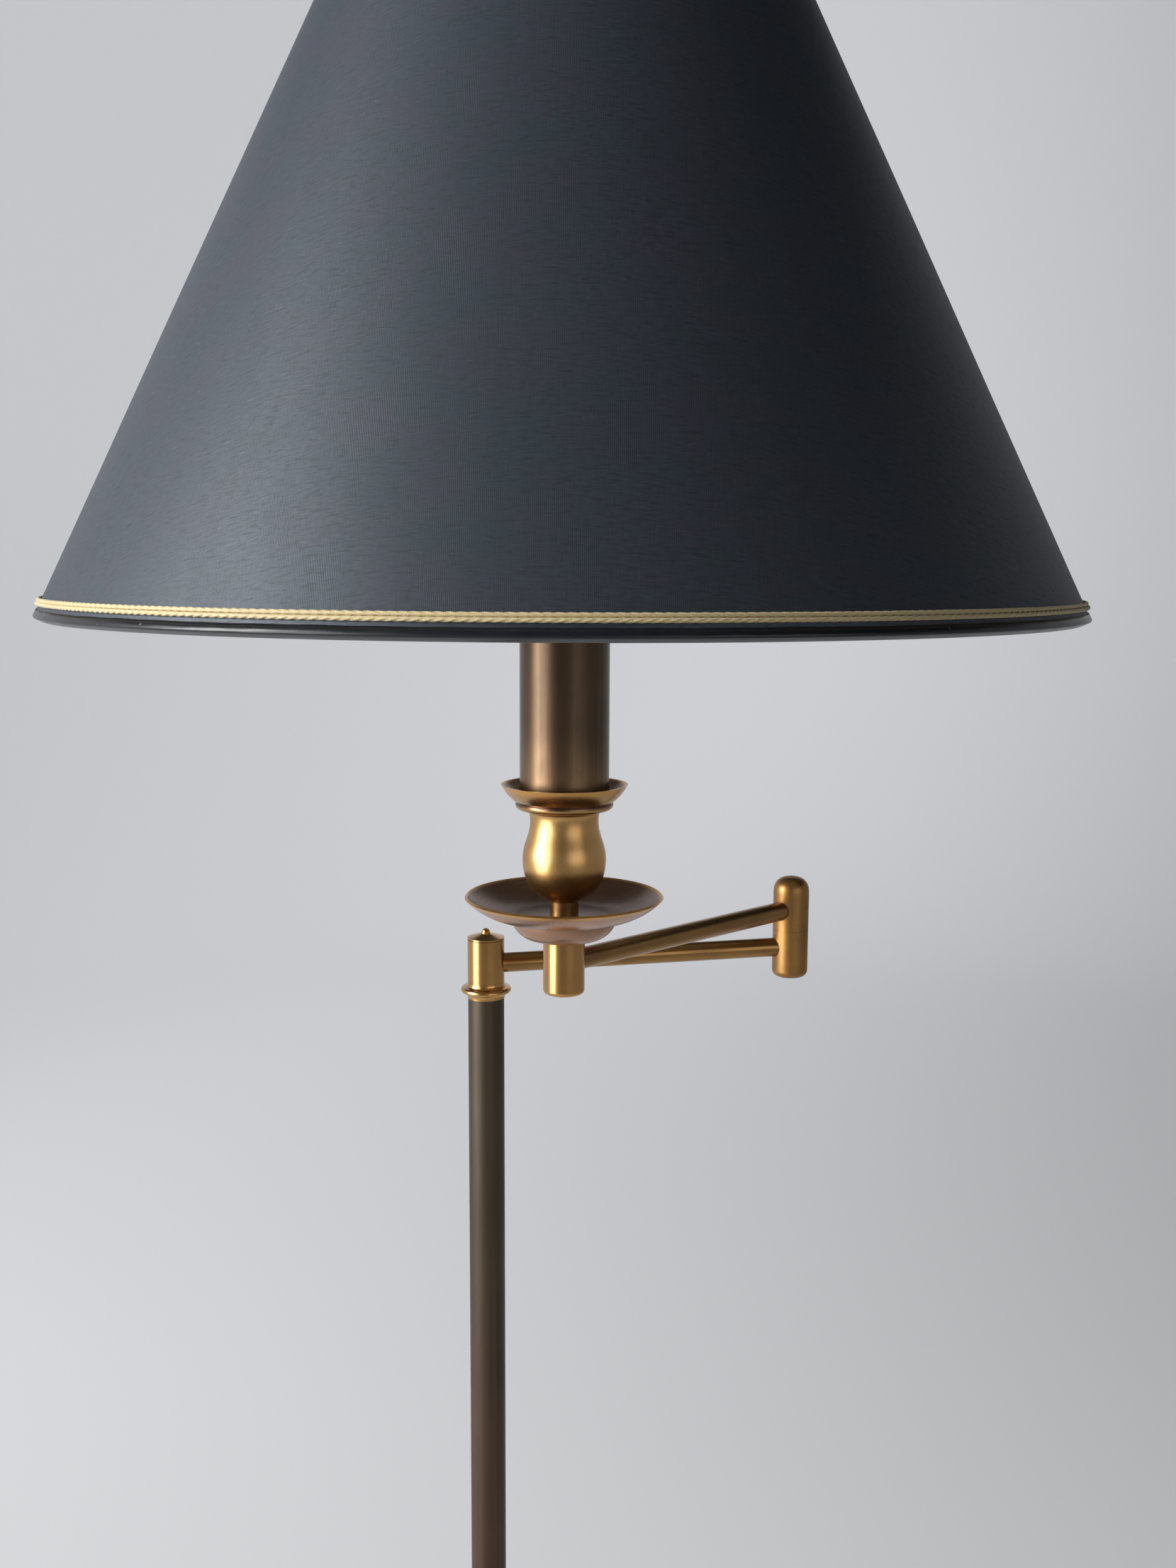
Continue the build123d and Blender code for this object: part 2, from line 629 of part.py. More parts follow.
thrust_washer = ring(
    "thrust_washer",
    pole_place,
    collar_top,
    THRUST_WASHER_THICKNESS,
    hub_radius - THRUST_WASHER_INSET,
    pivot_bore,
)
spring_recess_radius = (pivot_radius + hub_radius) / 2
pole_spring = disc_spring(
    "pole_spring",
    pole_place,
    hub_top - SPRING_DEPTH + THRUST_GAP,
    cap_bottom,
    spring_recess_radius - THRUST_GAP,
    pivot_radius + SEAT_FIT,
)

with BuildPart() as pole_cap:
    with BuildSketch(upright(pole_place)):
        with BuildLine():
            Polyline(
                (0, cap_bottom + CAP_SOCKET),
                (pivot_radius + SEAT_FIT, cap_bottom + CAP_SOCKET),
                (pivot_radius + SEAT_FIT, cap_bottom),
                (hub_radius, cap_bottom),
                (hub_radius, cap_bottom + CAP_EDGE),
            )
            Line(
                (hub_radius, cap_bottom + CAP_EDGE),
                (CAP_TIP_DIAMETER / 2, cap_bottom + CAP_EDGE + CAP_CONE),
            )
            Spline(
                (CAP_TIP_DIAMETER / 2, cap_bottom + CAP_EDGE + CAP_CONE),
                (0, cap_bottom + CAP_EDGE + CAP_CONE + CAP_TIP_HEIGHT),
                tangents=[(-0.2, 1), (-1, 0)],
            )
            Line((0, cap_bottom + CAP_EDGE + CAP_CONE + CAP_TIP_HEIGHT), (0, cap_bottom + CAP_SOCKET))
        make_face()
    revolve(axis=Axis.Z)
pole_cap.part.label = "pole_cap"

# Lower arm
with BuildPart() as pole_hub:
    with BuildSketch(level(pole_place, hub_bottom)):
        Circle(hub_radius)
        Circle(pivot_bore, mode=Mode.SUBTRACT)
    extrude(amount=hub_top - hub_bottom)
    with BuildSketch(level(pole_place, hub_top)):
        Circle(spring_recess_radius)
    extrude(amount=-SPRING_DEPTH, mode=Mode.SUBTRACT)
    arm_seat_plane = Plane(origin=(0, 0, ARM_HEIGHT), z_dir=lower_way)
    with BuildSketch(arm_seat_plane.offset(pivot_bore + ARM_SEAT)):
        Circle(arm_socket)
    extrude(amount=HUB_DIAMETER, mode=Mode.SUBTRACT)
    with BuildSketch(arm_seat_plane):
        Circle(WIRE_WAY_DIAMETER / 2)
    extrude(amount=HUB_DIAMETER, mode=Mode.SUBTRACT)
pole_hub.part.label = "pole_hub"

elbow_arm_end = elbow_pin_radius + RUNNING_FIT + ARM_SEAT
lower_arm_tube = arm_tube(
    "lower_arm_tube", pole_place, ARM_HEIGHT, lower_way, pivot_bore + ARM_SEAT, LOWER_ARM_LENGTH - elbow_arm_end
)

with BuildPart() as lower_knuckle:
    with BuildSketch(level(elbow_place, elbow_bottom)):
        Circle(knuckle_radius)
    extrude(amount=elbow_split - elbow_bottom)
    fillet(lower_knuckle.edges().sort_by(Axis.Z)[0], radius=ELBOW_FOOT_ROUND)
    with BuildSketch(level(elbow_place, elbow_bottom)):
        Circle(elbow_pin_radius + SEAT_FIT)
    extrude(amount=elbow_split - elbow_bottom, mode=Mode.SUBTRACT)
    with BuildSketch(level(elbow_place, elbow_bottom)):
        Circle(ELBOW_PLUG_DIAMETER / 2 + SEAT_FIT)
    extrude(amount=ELBOW_PLUG_HEIGHT, mode=Mode.SUBTRACT)
    toward_pole = Plane(origin=(*elbow_place, ARM_HEIGHT), z_dir=(-lower_way[0], -lower_way[1], 0))
    with BuildSketch(toward_pole.offset(elbow_arm_end)):
        Circle(arm_socket)
    extrude(amount=KNUCKLE_DIAMETER, mode=Mode.SUBTRACT)
    with BuildSketch(toward_pole):
        Circle(WIRE_WAY_DIAMETER / 2)
    extrude(amount=KNUCKLE_DIAMETER, mode=Mode.SUBTRACT)
lower_knuckle.part.label = "lower_knuckle"

with BuildPart() as elbow_plug:
    with BuildSketch(level(elbow_place, elbow_bottom)):
        Circle(ELBOW_PLUG_DIAMETER / 2)
    extrude(amount=ELBOW_PLUG_HEIGHT)
    chamfer(elbow_plug.edges().sort_by(Axis.Z)[0], length=ELBOW_PLUG_HEIGHT / 6)
elbow_plug.part.label = "elbow_plug"

with BuildPart() as elbow_pin:
    with BuildSketch(level(elbow_place, elbow_plug_top)):
        Circle(elbow_pin_radius)
        Circle(elbow_pin_radius - ELBOW_PIN_WALL, mode=Mode.SUBTRACT)
    extrude(amount=elbow_nut_top - elbow_plug_top)
    with BuildSketch(Plane(origin=(*elbow_place, ARM_HEIGHT), z_dir=(-lower_way[0], -lower_way[1], 0))):
        Circle(WIRE_WAY_DIAMETER / 2)
    extrude(amount=ELBOW_PIN_DIAMETER, mode=Mode.SUBTRACT)
    with BuildSketch(Plane(origin=(*elbow_place, upper_axis), z_dir=upper_way)):
        Circle(WIRE_WAY_DIAMETER / 2)
    extrude(amount=ELBOW_PIN_DIAMETER, mode=Mode.SUBTRACT)
elbow_pin.part.label = "elbow_pin"

elbow_washer = ring(
    "elbow_washer",
    elbow_place,
    elbow_split,
    THRUST_WASHER_THICKNESS,
    knuckle_radius - THRUST_WASHER_INSET,
    elbow_pin_radius + RUNNING_FIT,
)
elbow_spring = disc_spring(
    "elbow_spring",
    elbow_place,
    elbow_recess + THRUST_GAP,
    elbow_nut_bottom,
    elbow_recess_radius - THRUST_GAP,
    elbow_pin_radius + SEAT_FIT,
)
elbow_nut = hex_nut(
    "elbow_nut",
    elbow_place,
    elbow_nut_bottom,
    ELBOW_NUT_HEIGHT,
    ELBOW_NUT_FLATS,
    elbow_pin_radius + SEAT_FIT,
)

# Upper arm
with BuildPart() as upper_knuckle:
    with BuildSketch(level(elbow_place, upper_knuckle_bottom)):
        Circle(knuckle_radius)
        Circle(elbow_pin_radius + RUNNING_FIT, mode=Mode.SUBTRACT)
    extrude(amount=upper_knuckle_top - upper_knuckle_bottom)
    with BuildSketch(level(elbow_place, upper_knuckle_top)):
        Circle(elbow_recess_radius)
    extrude(amount=-SPRING_DEPTH, mode=Mode.SUBTRACT)
    toward_head = Plane(origin=(*elbow_place, upper_axis), z_dir=upper_way)
    with BuildSketch(toward_head.offset(elbow_arm_end)):
        Circle(arm_socket)
    extrude(amount=KNUCKLE_DIAMETER, mode=Mode.SUBTRACT)
    with BuildSketch(toward_head):
        Circle(WIRE_WAY_DIAMETER / 2)
    extrude(amount=KNUCKLE_DIAMETER, mode=Mode.SUBTRACT)
upper_knuckle.part.label = "upper_knuckle"

dome_top = upper_knuckle_top + ELBOW_DOME_HEIGHT
dome_inside = knuckle_radius - ELBOW_DOME_WALL
with BuildPart() as elbow_dome:
    with BuildSketch(upright(elbow_place)):
        with BuildLine():
            Line((dome_inside, upper_knuckle_top), (knuckle_radius, upper_knuckle_top))
            Spline((knuckle_radius, upper_knuckle_top), (0, dome_top), tangents=[(0, 1), (-1, 0)])
            Line((0, dome_top), (0, dome_top - ELBOW_DOME_WALL))
            Spline(
                (0, dome_top - ELBOW_DOME_WALL),
                (dome_inside, upper_knuckle_top),
                tangents=[(1, 0), (0, -1)],
            )
        make_face()
    revolve(axis=elbow_axis)
elbow_dome.part.label = "elbow_dome"

head_arm_end = pipe_radius + SEAT_FIT + ARM_SEAT
upper_arm_tube = arm_tube(
    "upper_arm_tube", elbow_place, upper_axis, upper_way, elbow_arm_end, UPPER_ARM_LENGTH - head_arm_end
)

with BuildPart() as head_hub:
    with BuildSketch(level(head_place, head_hub_bottom)):
        Circle(head_hub_radius)
    extrude(amount=head_hub_top - head_hub_bottom)
    fillet(head_hub.edges().sort_by(Axis.Z)[0], radius=HEAD_HUB_ROUND)
    with BuildSketch(level(head_place, head_hub_bottom)):
        Circle(pipe_seat)
    extrude(amount=head_hub_top - head_hub_bottom, mode=Mode.SUBTRACT)
    with BuildSketch(level(head_place, head_hub_bottom)):
        Circle(head_recess_radius)
    extrude(amount=head_nut_top - head_hub_bottom, mode=Mode.SUBTRACT)
    toward_elbow = Plane(origin=(*head_place, upper_axis), z_dir=(-upper_way[0], -upper_way[1], 0))
    with BuildSketch(toward_elbow.offset(head_arm_end)):
        Circle(arm_socket)
    extrude(amount=HEAD_HUB_DIAMETER, mode=Mode.SUBTRACT)
    with BuildSketch(toward_elbow):
        Circle(WIRE_WAY_DIAMETER / 2)
    extrude(amount=HEAD_HUB_DIAMETER, mode=Mode.SUBTRACT)
head_hub.part.label = "head_hub"

with BuildPart() as head_plug:
    with BuildSketch(level(head_place, head_hub_bottom)):
        Circle(head_recess_radius - SEAT_FIT)
    extrude(amount=HEAD_PLUG_HEIGHT)
head_plug.part.label = "head_plug"

head_nut = hex_nut("head_nut", head_place, head_nut_bottom, HEAD_NUT_HEIGHT, HEAD_NUT_FLATS, pipe_seat)

with BuildPart() as head_pipe:
    with BuildSketch(level(head_place, head_plug_top)):
        Circle(pipe_radius)
        Circle(pipe_radius - PIPE_WALL, mode=Mode.SUBTRACT)
    extrude(amount=socket_body_bottom - head_plug_top)
    with BuildSketch(Plane(origin=(*head_place, upper_axis), z_dir=(-upper_way[0], -upper_way[1], 0))):
        Circle(WIRE_WAY_DIAMETER / 2)
    extrude(amount=PIPE_DIAMETER, mode=Mode.SUBTRACT)
head_pipe.part.label = "head_pipe"

with BuildPart() as dish_foot:
    with BuildSketch(upright(head_place)):
        with BuildLine():
            SagittaArc((FOOT_BOTTOM_DIAMETER / 2, head_hub_top), (FOOT_TOP_DIAMETER / 2, foot_top), -FOOT_BULGE)
            Polyline(
                (FOOT_TOP_DIAMETER / 2, foot_top),
                (pipe_seat, foot_top),
                (pipe_seat, head_hub_top),
                (FOOT_BOTTOM_DIAMETER / 2, head_hub_top),
            )
        make_face()
    revolve(axis=head_axis)
dish_foot.part.label = "dish_foot"

with BuildPart() as drip_dish:
    with BuildSketch(upright(head_place)):
        with BuildLine():
            Line((pipe_seat, foot_top + DISH_WALL / 2), (DISH_FLOOR_DIAMETER / 2, foot_top + DISH_WALL / 2))
            SagittaArc(
                (DISH_FLOOR_DIAMETER / 2, foot_top + DISH_WALL / 2),
                (DISH_DIAMETER / 2 - DISH_WALL / 2, foot_top + DISH_RISE),
                -DISH_BOWL,
            )
        trace(line_width=DISH_WALL)
    revolve(axis=head_axis)
drip_dish.part.label = "drip_dish"

neck_spacer = ring("neck_spacer", head_place, neck_bottom, NECK_LENGTH, NECK_DIAMETER / 2, pipe_seat)

with BuildPart() as vase:
    with BuildSketch(upright(head_place)):
        with BuildLine():
            Spline(
                (VASE_FOOT_DIAMETER / 2, vase_bottom),
                (VASE_BELLY_DIAMETER / 2, vase_bottom + VASE_BELLY_HEIGHT),
                tangents=[(1, 0.45), (0, 1)],
            )
            Spline(
                (VASE_BELLY_DIAMETER / 2, vase_bottom + VASE_BELLY_HEIGHT),
                (VASE_NECK_DIAMETER / 2, vase_bottom + VASE_NECK_HEIGHT),
                tangents=[(0, 1), (0, 1)],
            )
            Spline(
                (VASE_NECK_DIAMETER / 2, vase_bottom + VASE_NECK_HEIGHT),
                (VASE_LIP_DIAMETER / 2, cup_bottom),
                tangents=[(0, 1), (0.5, 1)],
            )
            Polyline(
                (VASE_LIP_DIAMETER / 2, cup_bottom),
                (pipe_seat, cup_bottom),
                (pipe_seat, vase_bottom),
                (VASE_FOOT_DIAMETER / 2, vase_bottom),
            )
        make_face()
    revolve(axis=head_axis)
vase.part.label = "vase"

bead_radius = tube_radius + CUP_BEAD_OVERHANG
bead_height = cup_bottom + CUP_BASE_HEIGHT / 2
cup_seat = tube_radius + SEAT_FIT
groove_radius = bead_radius - CUP_GROOVE
groove_height = bead_height + math.sqrt(CUP_BEAD_RADIUS**2 - (CUP_BEAD_RADIUS - CUP_GROOVE) ** 2)
flare_foot = groove_radius + CUP_FLARE_STEP
flare_bottom = groove_height + CUP_GROOVE
rim_radius = CUP_RIM_DIAMETER / 2
rim_height = cup_floor + CUP_FLARE_HEIGHT
with BuildPart() as candle_cup:
    with BuildSketch(upright(head_place)):
        with BuildLine():
            Polyline(
                (pipe_seat, cup_floor),
                (pipe_seat, cup_bottom),
                (VASE_LIP_DIAMETER / 2, cup_bottom),
                (bead_radius - CUP_BEAD_RADIUS, bead_height - CUP_BEAD_RADIUS),
            )
            ThreePointArc(
                (bead_radius - CUP_BEAD_RADIUS, bead_height - CUP_BEAD_RADIUS),
                (bead_radius, bead_height),
                (groove_radius, groove_height),
            )
            Line((groove_radius, groove_height), (flare_foot, flare_bottom))
            SagittaArc((flare_foot, flare_bottom), (rim_radius, rim_height), -CUP_FLARE_BOW)
            Line((rim_radius, rim_height), (rim_radius - CUP_WALL, rim_height))
            SagittaArc((rim_radius - CUP_WALL, rim_height), (cup_seat, cup_floor), CUP_FLARE_BOW)
            Line((cup_seat, cup_floor), (pipe_seat, cup_floor))
        make_face()
    revolve(axis=head_axis)
candle_cup.part.label = "candle_cup"

candle_tube = ring("candle_tube", head_place, cup_floor, TUBE_LENGTH, tube_radius, tube_radius - TUBE_WALL)

with BuildPart() as tube_cap:
    with BuildSketch(level(head_place, tube_top)):
        Circle(tube_radius)
    extrude(amount=TUBE_CAP_THICKNESS)
    fillet(tube_cap.edges().sort_by(Axis.Z)[-1], radius=TUBE_CAP_THICKNESS / 2)
    with BuildSketch(level(head_place, tube_top)):
        Circle(tube_radius - TUBE_WALL - SEAT_FIT)
    extrude(amount=-TUBE_CAP_SPIGOT)
    with BuildSketch(level(head_place, saddle_bottom)):
        Circle(pipe_seat)
    extrude(amount=-TUBE_CAP_THICKNESS - TUBE_CAP_SPIGOT, mode=Mode.SUBTRACT)
tube_cap.part.label = "tube_cap"

# Harp and finial
tab_inside = SADDLE_SPAN / 2
tab_outside = tab_inside + SADDLE_THICKNESS
tab_top = saddle_top + SADDLE_TAB_HEIGHT
with BuildPart() as harp_saddle:
    with BuildSketch(upright(head_place)):
        with Locations((0, saddle_bottom)):
            Rectangle(2 * tab_outside, SADDLE_THICKNESS, align=(Align.CENTER, Align.MIN))
    extrude(amount=SADDLE_WIDTH / 2, both=True)
    with BuildSketch(upright(head_place)):
        with Locations((tab_inside, saddle_bottom), (-tab_outside, saddle_bottom)):
            Rectangle(
                SADDLE_THICKNESS, SADDLE_THICKNESS + SADDLE_TAB_HEIGHT, align=(Align.MIN, Align.MIN)
            )
    extrude(amount=SADDLE_TAB_WIDTH / 2, both=True)
    with BuildSketch(level(head_place, saddle_bottom)):
        Circle(pipe_seat)
    extrude(amount=SADDLE_THICKNESS, mode=Mode.SUBTRACT)
harp_saddle.part.label = "harp_saddle"

harp_wire = HARP_WIRE_DIAMETER / 2
leg_place = tab_outside + SEAT_FIT + harp_wire
leg_bottom = saddle_top + SEAT_FIT
harp_side = HARP_WIDTH / 2
with BuildPart() as harp:
    with BuildLine(upright(head_place)) as harp_leg:
        FilletPolyline(
            (leg_place, leg_bottom),
            (leg_place, leg_bottom + HARP_GRIP),
            (harp_side, leg_bottom + HARP_GRIP + HARP_FLARE_HEIGHT),
            (harp_side, shade_seat - HARP_SHOULDER_DROP),
            (HARP_BOSS_DIAMETER / 4, shade_seat - HARP_BOSS_HEIGHT / 2),
            radius=HARP_BEND_RADIUS,
        )
    with BuildSketch(Plane(origin=harp_leg.line @ 0, z_dir=harp_leg.line % 0)):
        Circle(harp_wire)
    sweep()
    mirror(about=Plane(origin=(*head_place, 0), z_dir=(1, 0, 0)))
    with BuildSketch(level(head_place, shade_seat)):
        Circle(HARP_BOSS_DIAMETER / 2)
    extrude(amount=-HARP_BOSS_HEIGHT)
    with BuildSketch(level(head_place, shade_seat)):
        Circle(STUD_DIAMETER / 2)
    extrude(amount=SPIDER_WASHER_THICKNESS + STUD_LENGTH)
harp.part.label = "harp"

sleeve_centre = (tab_inside + leg_place + harp_wire) / 2
sleeve_bore = math.hypot(sleeve_centre - tab_inside, SADDLE_TAB_WIDTH / 2) + SLEEVE_SLACK
with BuildPart() as harp_sleeves:
    with BuildSketch(level(head_place, saddle_top)):
        with Locations((sleeve_centre, 0), (-sleeve_centre, 0)):
            Circle(sleeve_bore + SLEEVE_WALL)
            Circle(sleeve_bore, mode=Mode.SUBTRACT)
    extrude(amount=SLEEVE_LENGTH)
harp_sleeves.part.label = "harp_sleeves"

finial_bottom = shade_seat + SPIDER_WASHER_THICKNESS
finial_top = finial_bottom + FINIAL_HEIGHT
finial_bore = STUD_DIAMETER / 2 + SEAT_FIT
with BuildPart() as finial:
    with BuildSketch(upright(head_place)):
        with BuildLine():
            Polyline(
                (0, finial_top),
                (0, finial_bottom + STUD_LENGTH),
                (finial_bore, finial_bottom + STUD_LENGTH),
                (finial_bore, finial_bottom),
                (FINIAL_FOOT_DIAMETER / 2, finial_bottom),
            )
            RadiusArc(
                (FINIAL_FOOT_DIAMETER / 2, finial_bottom),
                (FINIAL_FOOT_DIAMETER / 2, finial_bottom + FINIAL_FOOT_HEIGHT),
                -FINIAL_FOOT_HEIGHT,
            )
            Spline(
                (FINIAL_FOOT_DIAMETER / 2, finial_bottom + FINIAL_FOOT_HEIGHT),
                (FINIAL_NECK_DIAMETER / 2, finial_bottom + FINIAL_NECK_HEIGHT),
                tangents=[(-1, 0.4), (0.2, 1)],
            )
            Spline(
                (FINIAL_NECK_DIAMETER / 2, finial_bottom + FINIAL_NECK_HEIGHT),
                (FINIAL_KNOB_DIAMETER / 2, (finial_bottom + FINIAL_NECK_HEIGHT + finial_top) / 2),
                (0, finial_top),
                tangents=[(1, 0.3), (-1, 0)],
            )
        make_face()
    revolve(axis=head_axis)
finial.part.label = "finial"

# Socket, switch and bulb
with BuildPart() as socket_cap:
    with BuildSketch(level(head_place, saddle_top)):
        Circle(socket_radius)
    extrude(amount=SOCKET_CAP_HEIGHT)
    fillet(socket_cap.edges().sort_by(Axis.Z)[0], radius=SOCKET_CAP_ROUND)
    offset(amount=-SOCKET_WALL, openings=socket_cap.faces().sort_by(Axis.Z)[-1])
    with BuildSketch(level(head_place, saddle_top)):
        Circle(SOCKET_CAP_BOSS_DIAMETER / 2)
    extrude(amount=SOCKET_CAP_BOSS_HEIGHT)
    with BuildSketch(level(head_place, saddle_top)):
        Circle(pipe_seat)
    extrude(amount=SOCKET_CAP_BOSS_HEIGHT, mode=Mode.SUBTRACT)
socket_cap.part.label = "socket_cap"

key_plane = Plane(origin=(*head_place, key_height), z_dir=(0, -1, 0))
with BuildPart() as socket_shell:
    with BuildSketch(level(head_place, socket_shell_bottom)):
        Circle(socket_shell_radius)
        Circle(socket_shell_radius - SOCKET_WALL, mode=Mode.SUBTRACT)
    extrude(amount=SOCKET_SHELL_HEIGHT)
    with BuildSketch(key_plane):
        Circle(KEY_STEM_DIAMETER / 2 + KEY_HOLE_GAP)
    extrude(amount=SOCKET_DIAMETER, mode=Mode.SUBTRACT)
socket_shell.part.label = "socket_shell"

with BuildPart() as socket_liner:
    with BuildSketch(level(head_place, socket_shell_bottom)):
        Circle(liner_radius)
        Circle(liner_radius - LINER_THICKNESS, mode=Mode.SUBTRACT)
    extrude(amount=SOCKET_SHELL_HEIGHT)
    with BuildSketch(key_plane):
        Circle(KEY_STEM_DIAMETER / 2 + KEY_HOLE_GAP)
    extrude(amount=SOCKET_DIAMETER, mode=Mode.SUBTRACT)
socket_liner.part.label = "socket_liner"

key_stem_start = socket_body_radius - KEY_STEM_INSERT
with BuildPart() as socket_body:
    with BuildSketch(level(head_place, socket_body_bottom)):
        Circle(socket_body_radius)
    extrude(amount=socket_body_top - socket_body_bottom)
    with BuildSketch(key_plane.offset(key_stem_start)):
        Circle(KEY_STEM_DIAMETER / 2 + RUNNING_FIT)
    extrude(amount=SOCKET_DIAMETER, mode=Mode.SUBTRACT)
socket_body.part.label = "socket_body"

key_start = socket_radius + KEY_STANDOFF
with BuildPart() as switch_key:
    with BuildSketch(key_plane.offset(key_stem_start)):
        Circle(KEY_STEM_DIAMETER / 2)
    extrude(amount=key_start - key_stem_start)
    with BuildSketch(key_plane.offset(key_start)):
        Circle(KEY_DIAMETER / 2)
        with PolarLocations(KEY_DIAMETER / 2 + KEY_FLUTE_DIAMETER / 6, KEY_FLUTES):
            Circle(KEY_FLUTE_DIAMETER / 2, mode=Mode.SUBTRACT)
    extrude(amount=KEY_LENGTH)
switch_key.part.label = "switch_key"

screw_shell_radius = SCREW_SHELL_DIAMETER / 2
screw_shell = ring(
    "screw_shell",
    head_place,
    socket_body_top,
    SCREW_SHELL_HEIGHT,
    screw_shell_radius,
    screw_shell_radius - SCREW_SHELL_WALL,
)

with BuildPart() as center_contact:
    with BuildSketch(level(head_place, socket_body_top)):
        Circle(CONTACT_DIAMETER / 2)
    extrude(amount=CONTACT_HEIGHT)
center_contact.part.label = "center_contact"

with BuildPart() as bulb_base:
    with BuildSketch(upright(head_place)):
        with BuildLine():
            Polyline(
                (0, contact_top),
                (CONTACT_DIAMETER / 2, contact_top),
                (bulb_base_radius, contact_top + BULB_TIP_HEIGHT),
                (bulb_base_radius, bulb_base_top),
                (0, bulb_base_top),
                close=True,
            )
        make_face()
    revolve(axis=head_axis)
bulb_base.part.label = "bulb_base"

bulb_widest = bulb_base_top + BULB_NECK_HEIGHT + BULB_FLARE_HEIGHT
bulb_line = (BULB_DIAMETER - BULB_GLASS_WALL) / 2
bulb_neck = (BULB_NECK_DIAMETER - BULB_GLASS_WALL) / 2
with BuildPart() as bulb_glass:
    with BuildSketch(upright(head_place)):
        with BuildLine():
            Line((bulb_neck, bulb_base_top), (bulb_neck, bulb_base_top + BULB_NECK_HEIGHT))
            Spline(
                (bulb_neck, bulb_base_top + BULB_NECK_HEIGHT),
                (bulb_line, bulb_widest),
                tangents=[(0, 1), (0, 1)],
            )
            CenterArc((0, bulb_widest), bulb_line, 0, 90)
        trace(line_width=BULB_GLASS_WALL)
    revolve(axis=head_axis)
bulb_glass.part.label = "bulb_glass"

# Shade
shade_cover = shade_skin("shade_cover", 0, COVER_THICKNESS)
shade_backing = shade_skin("shade_backing", backing_out, BACKING_THICKNESS)

ring_along = wire_radius
with BuildPart() as bottom_ring:
    with BuildSketch(upright(head_place)):
        with Locations(on_slant(ring_along, ring_out)):
            Circle(wire_radius)
    revolve(axis=head_axis)
bottom_ring.part.label = "bottom_ring"

top_ring_radius, top_ring_height = on_slant(slant - ring_along, ring_out)
spoke_height = shade_seat + SPIDER_WASHER_THICKNESS / 2
spoke_bearing = math.radians(SPIDER_SPOKE_BEARING)
spoke_plane = Plane(
    origin=(*head_place, 0),
    x_dir=(math.cos(spoke_bearing), math.sin(spoke_bearing), 0),
    z_dir=(math.sin(spoke_bearing), -math.cos(spoke_bearing), 0),
)
with BuildPart() as shade_spider:
    with BuildLine(spoke_plane) as spoke:
        FilletPolyline(
            (SPIDER_SPOKE_START, spoke_height),
            (top_ring_radius - SPIDER_KINK, spoke_height),
            (top_ring_radius, top_ring_height),
            radius=SPIDER_BEND_RADIUS,
        )
    with BuildSketch(Plane(origin=spoke.line @ 0, z_dir=spoke.line % 0)):
        Circle(wire_radius)
    sweep()
    first_spoke = shade_spider.part
    for count in range(1, SPIDER_SPOKES):
        add(first_spoke.rotate(head_axis, count * 360 / SPIDER_SPOKES))
    with BuildSketch(upright(head_place)):
        with Locations((top_ring_radius, top_ring_height)):
            Circle(wire_radius)
    revolve(axis=head_axis)
    with BuildSketch(level(head_place, shade_seat)):
        Circle(SPIDER_WASHER_DIAMETER / 2)
    extrude(amount=SPIDER_WASHER_THICKNESS)
    with BuildSketch(level(head_place, shade_seat)):
        Circle(STUD_DIAMETER / 2 + SPIDER_HOLE_GAP)
    extrude(amount=SPIDER_WASHER_THICKNESS, mode=Mode.SUBTRACT)
shade_spider.part.label = "shade_spider"

bottom_binding = binding("bottom_binding", 0, 1)
top_binding = binding("top_binding", slant, -1, SPIDER_SPOKES)
bottom_trim = cord_trim("bottom_trim", 0, 1)
top_trim = cord_trim("top_trim", slant, -1)

pieces = [
    base_felt, base_shell, base_weight, cord_bushing, clamp_washer, clamp_nut,
    pole_pipe, pole_tube, pole_seat, pole_collar, pivot_stem, thrust_washer, pole_spring, pole_cap,
    pole_hub, lower_arm_tube, lower_knuckle, elbow_plug, elbow_pin, elbow_washer, elbow_spring, elbow_nut,
    upper_knuckle, elbow_dome, upper_arm_tube, head_hub, head_plug, head_nut, head_pipe,
    dish_foot, drip_dish, neck_spacer, vase, candle_cup, candle_tube, tube_cap,
    harp_saddle, harp, harp_sleeves, finial,
    socket_cap, socket_shell, socket_liner, socket_body, switch_key, screw_shell, center_contact,
    bulb_base, bulb_glass,
    shade_cover, shade_backing, bottom_ring, shade_spider,
    bottom_binding, top_binding, bottom_trim, top_trim,
]
os.makedirs("parts", exist_ok=True)
for piece in pieces:
    export_step(piece.part, f"parts/{piece.part.label}.step")
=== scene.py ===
"""Looks of a double swing arm floor lamp, laid out as a small add-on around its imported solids.

Everything is in metres in the frame of the solids: Z up, the floor at 0, the pole on the Z axis
and the photograph's camera on the -Y side.
"""

import math

import bpy
from bpy.props import FloatProperty, FloatVectorProperty, PointerProperty
from mathutils import Matrix, Vector


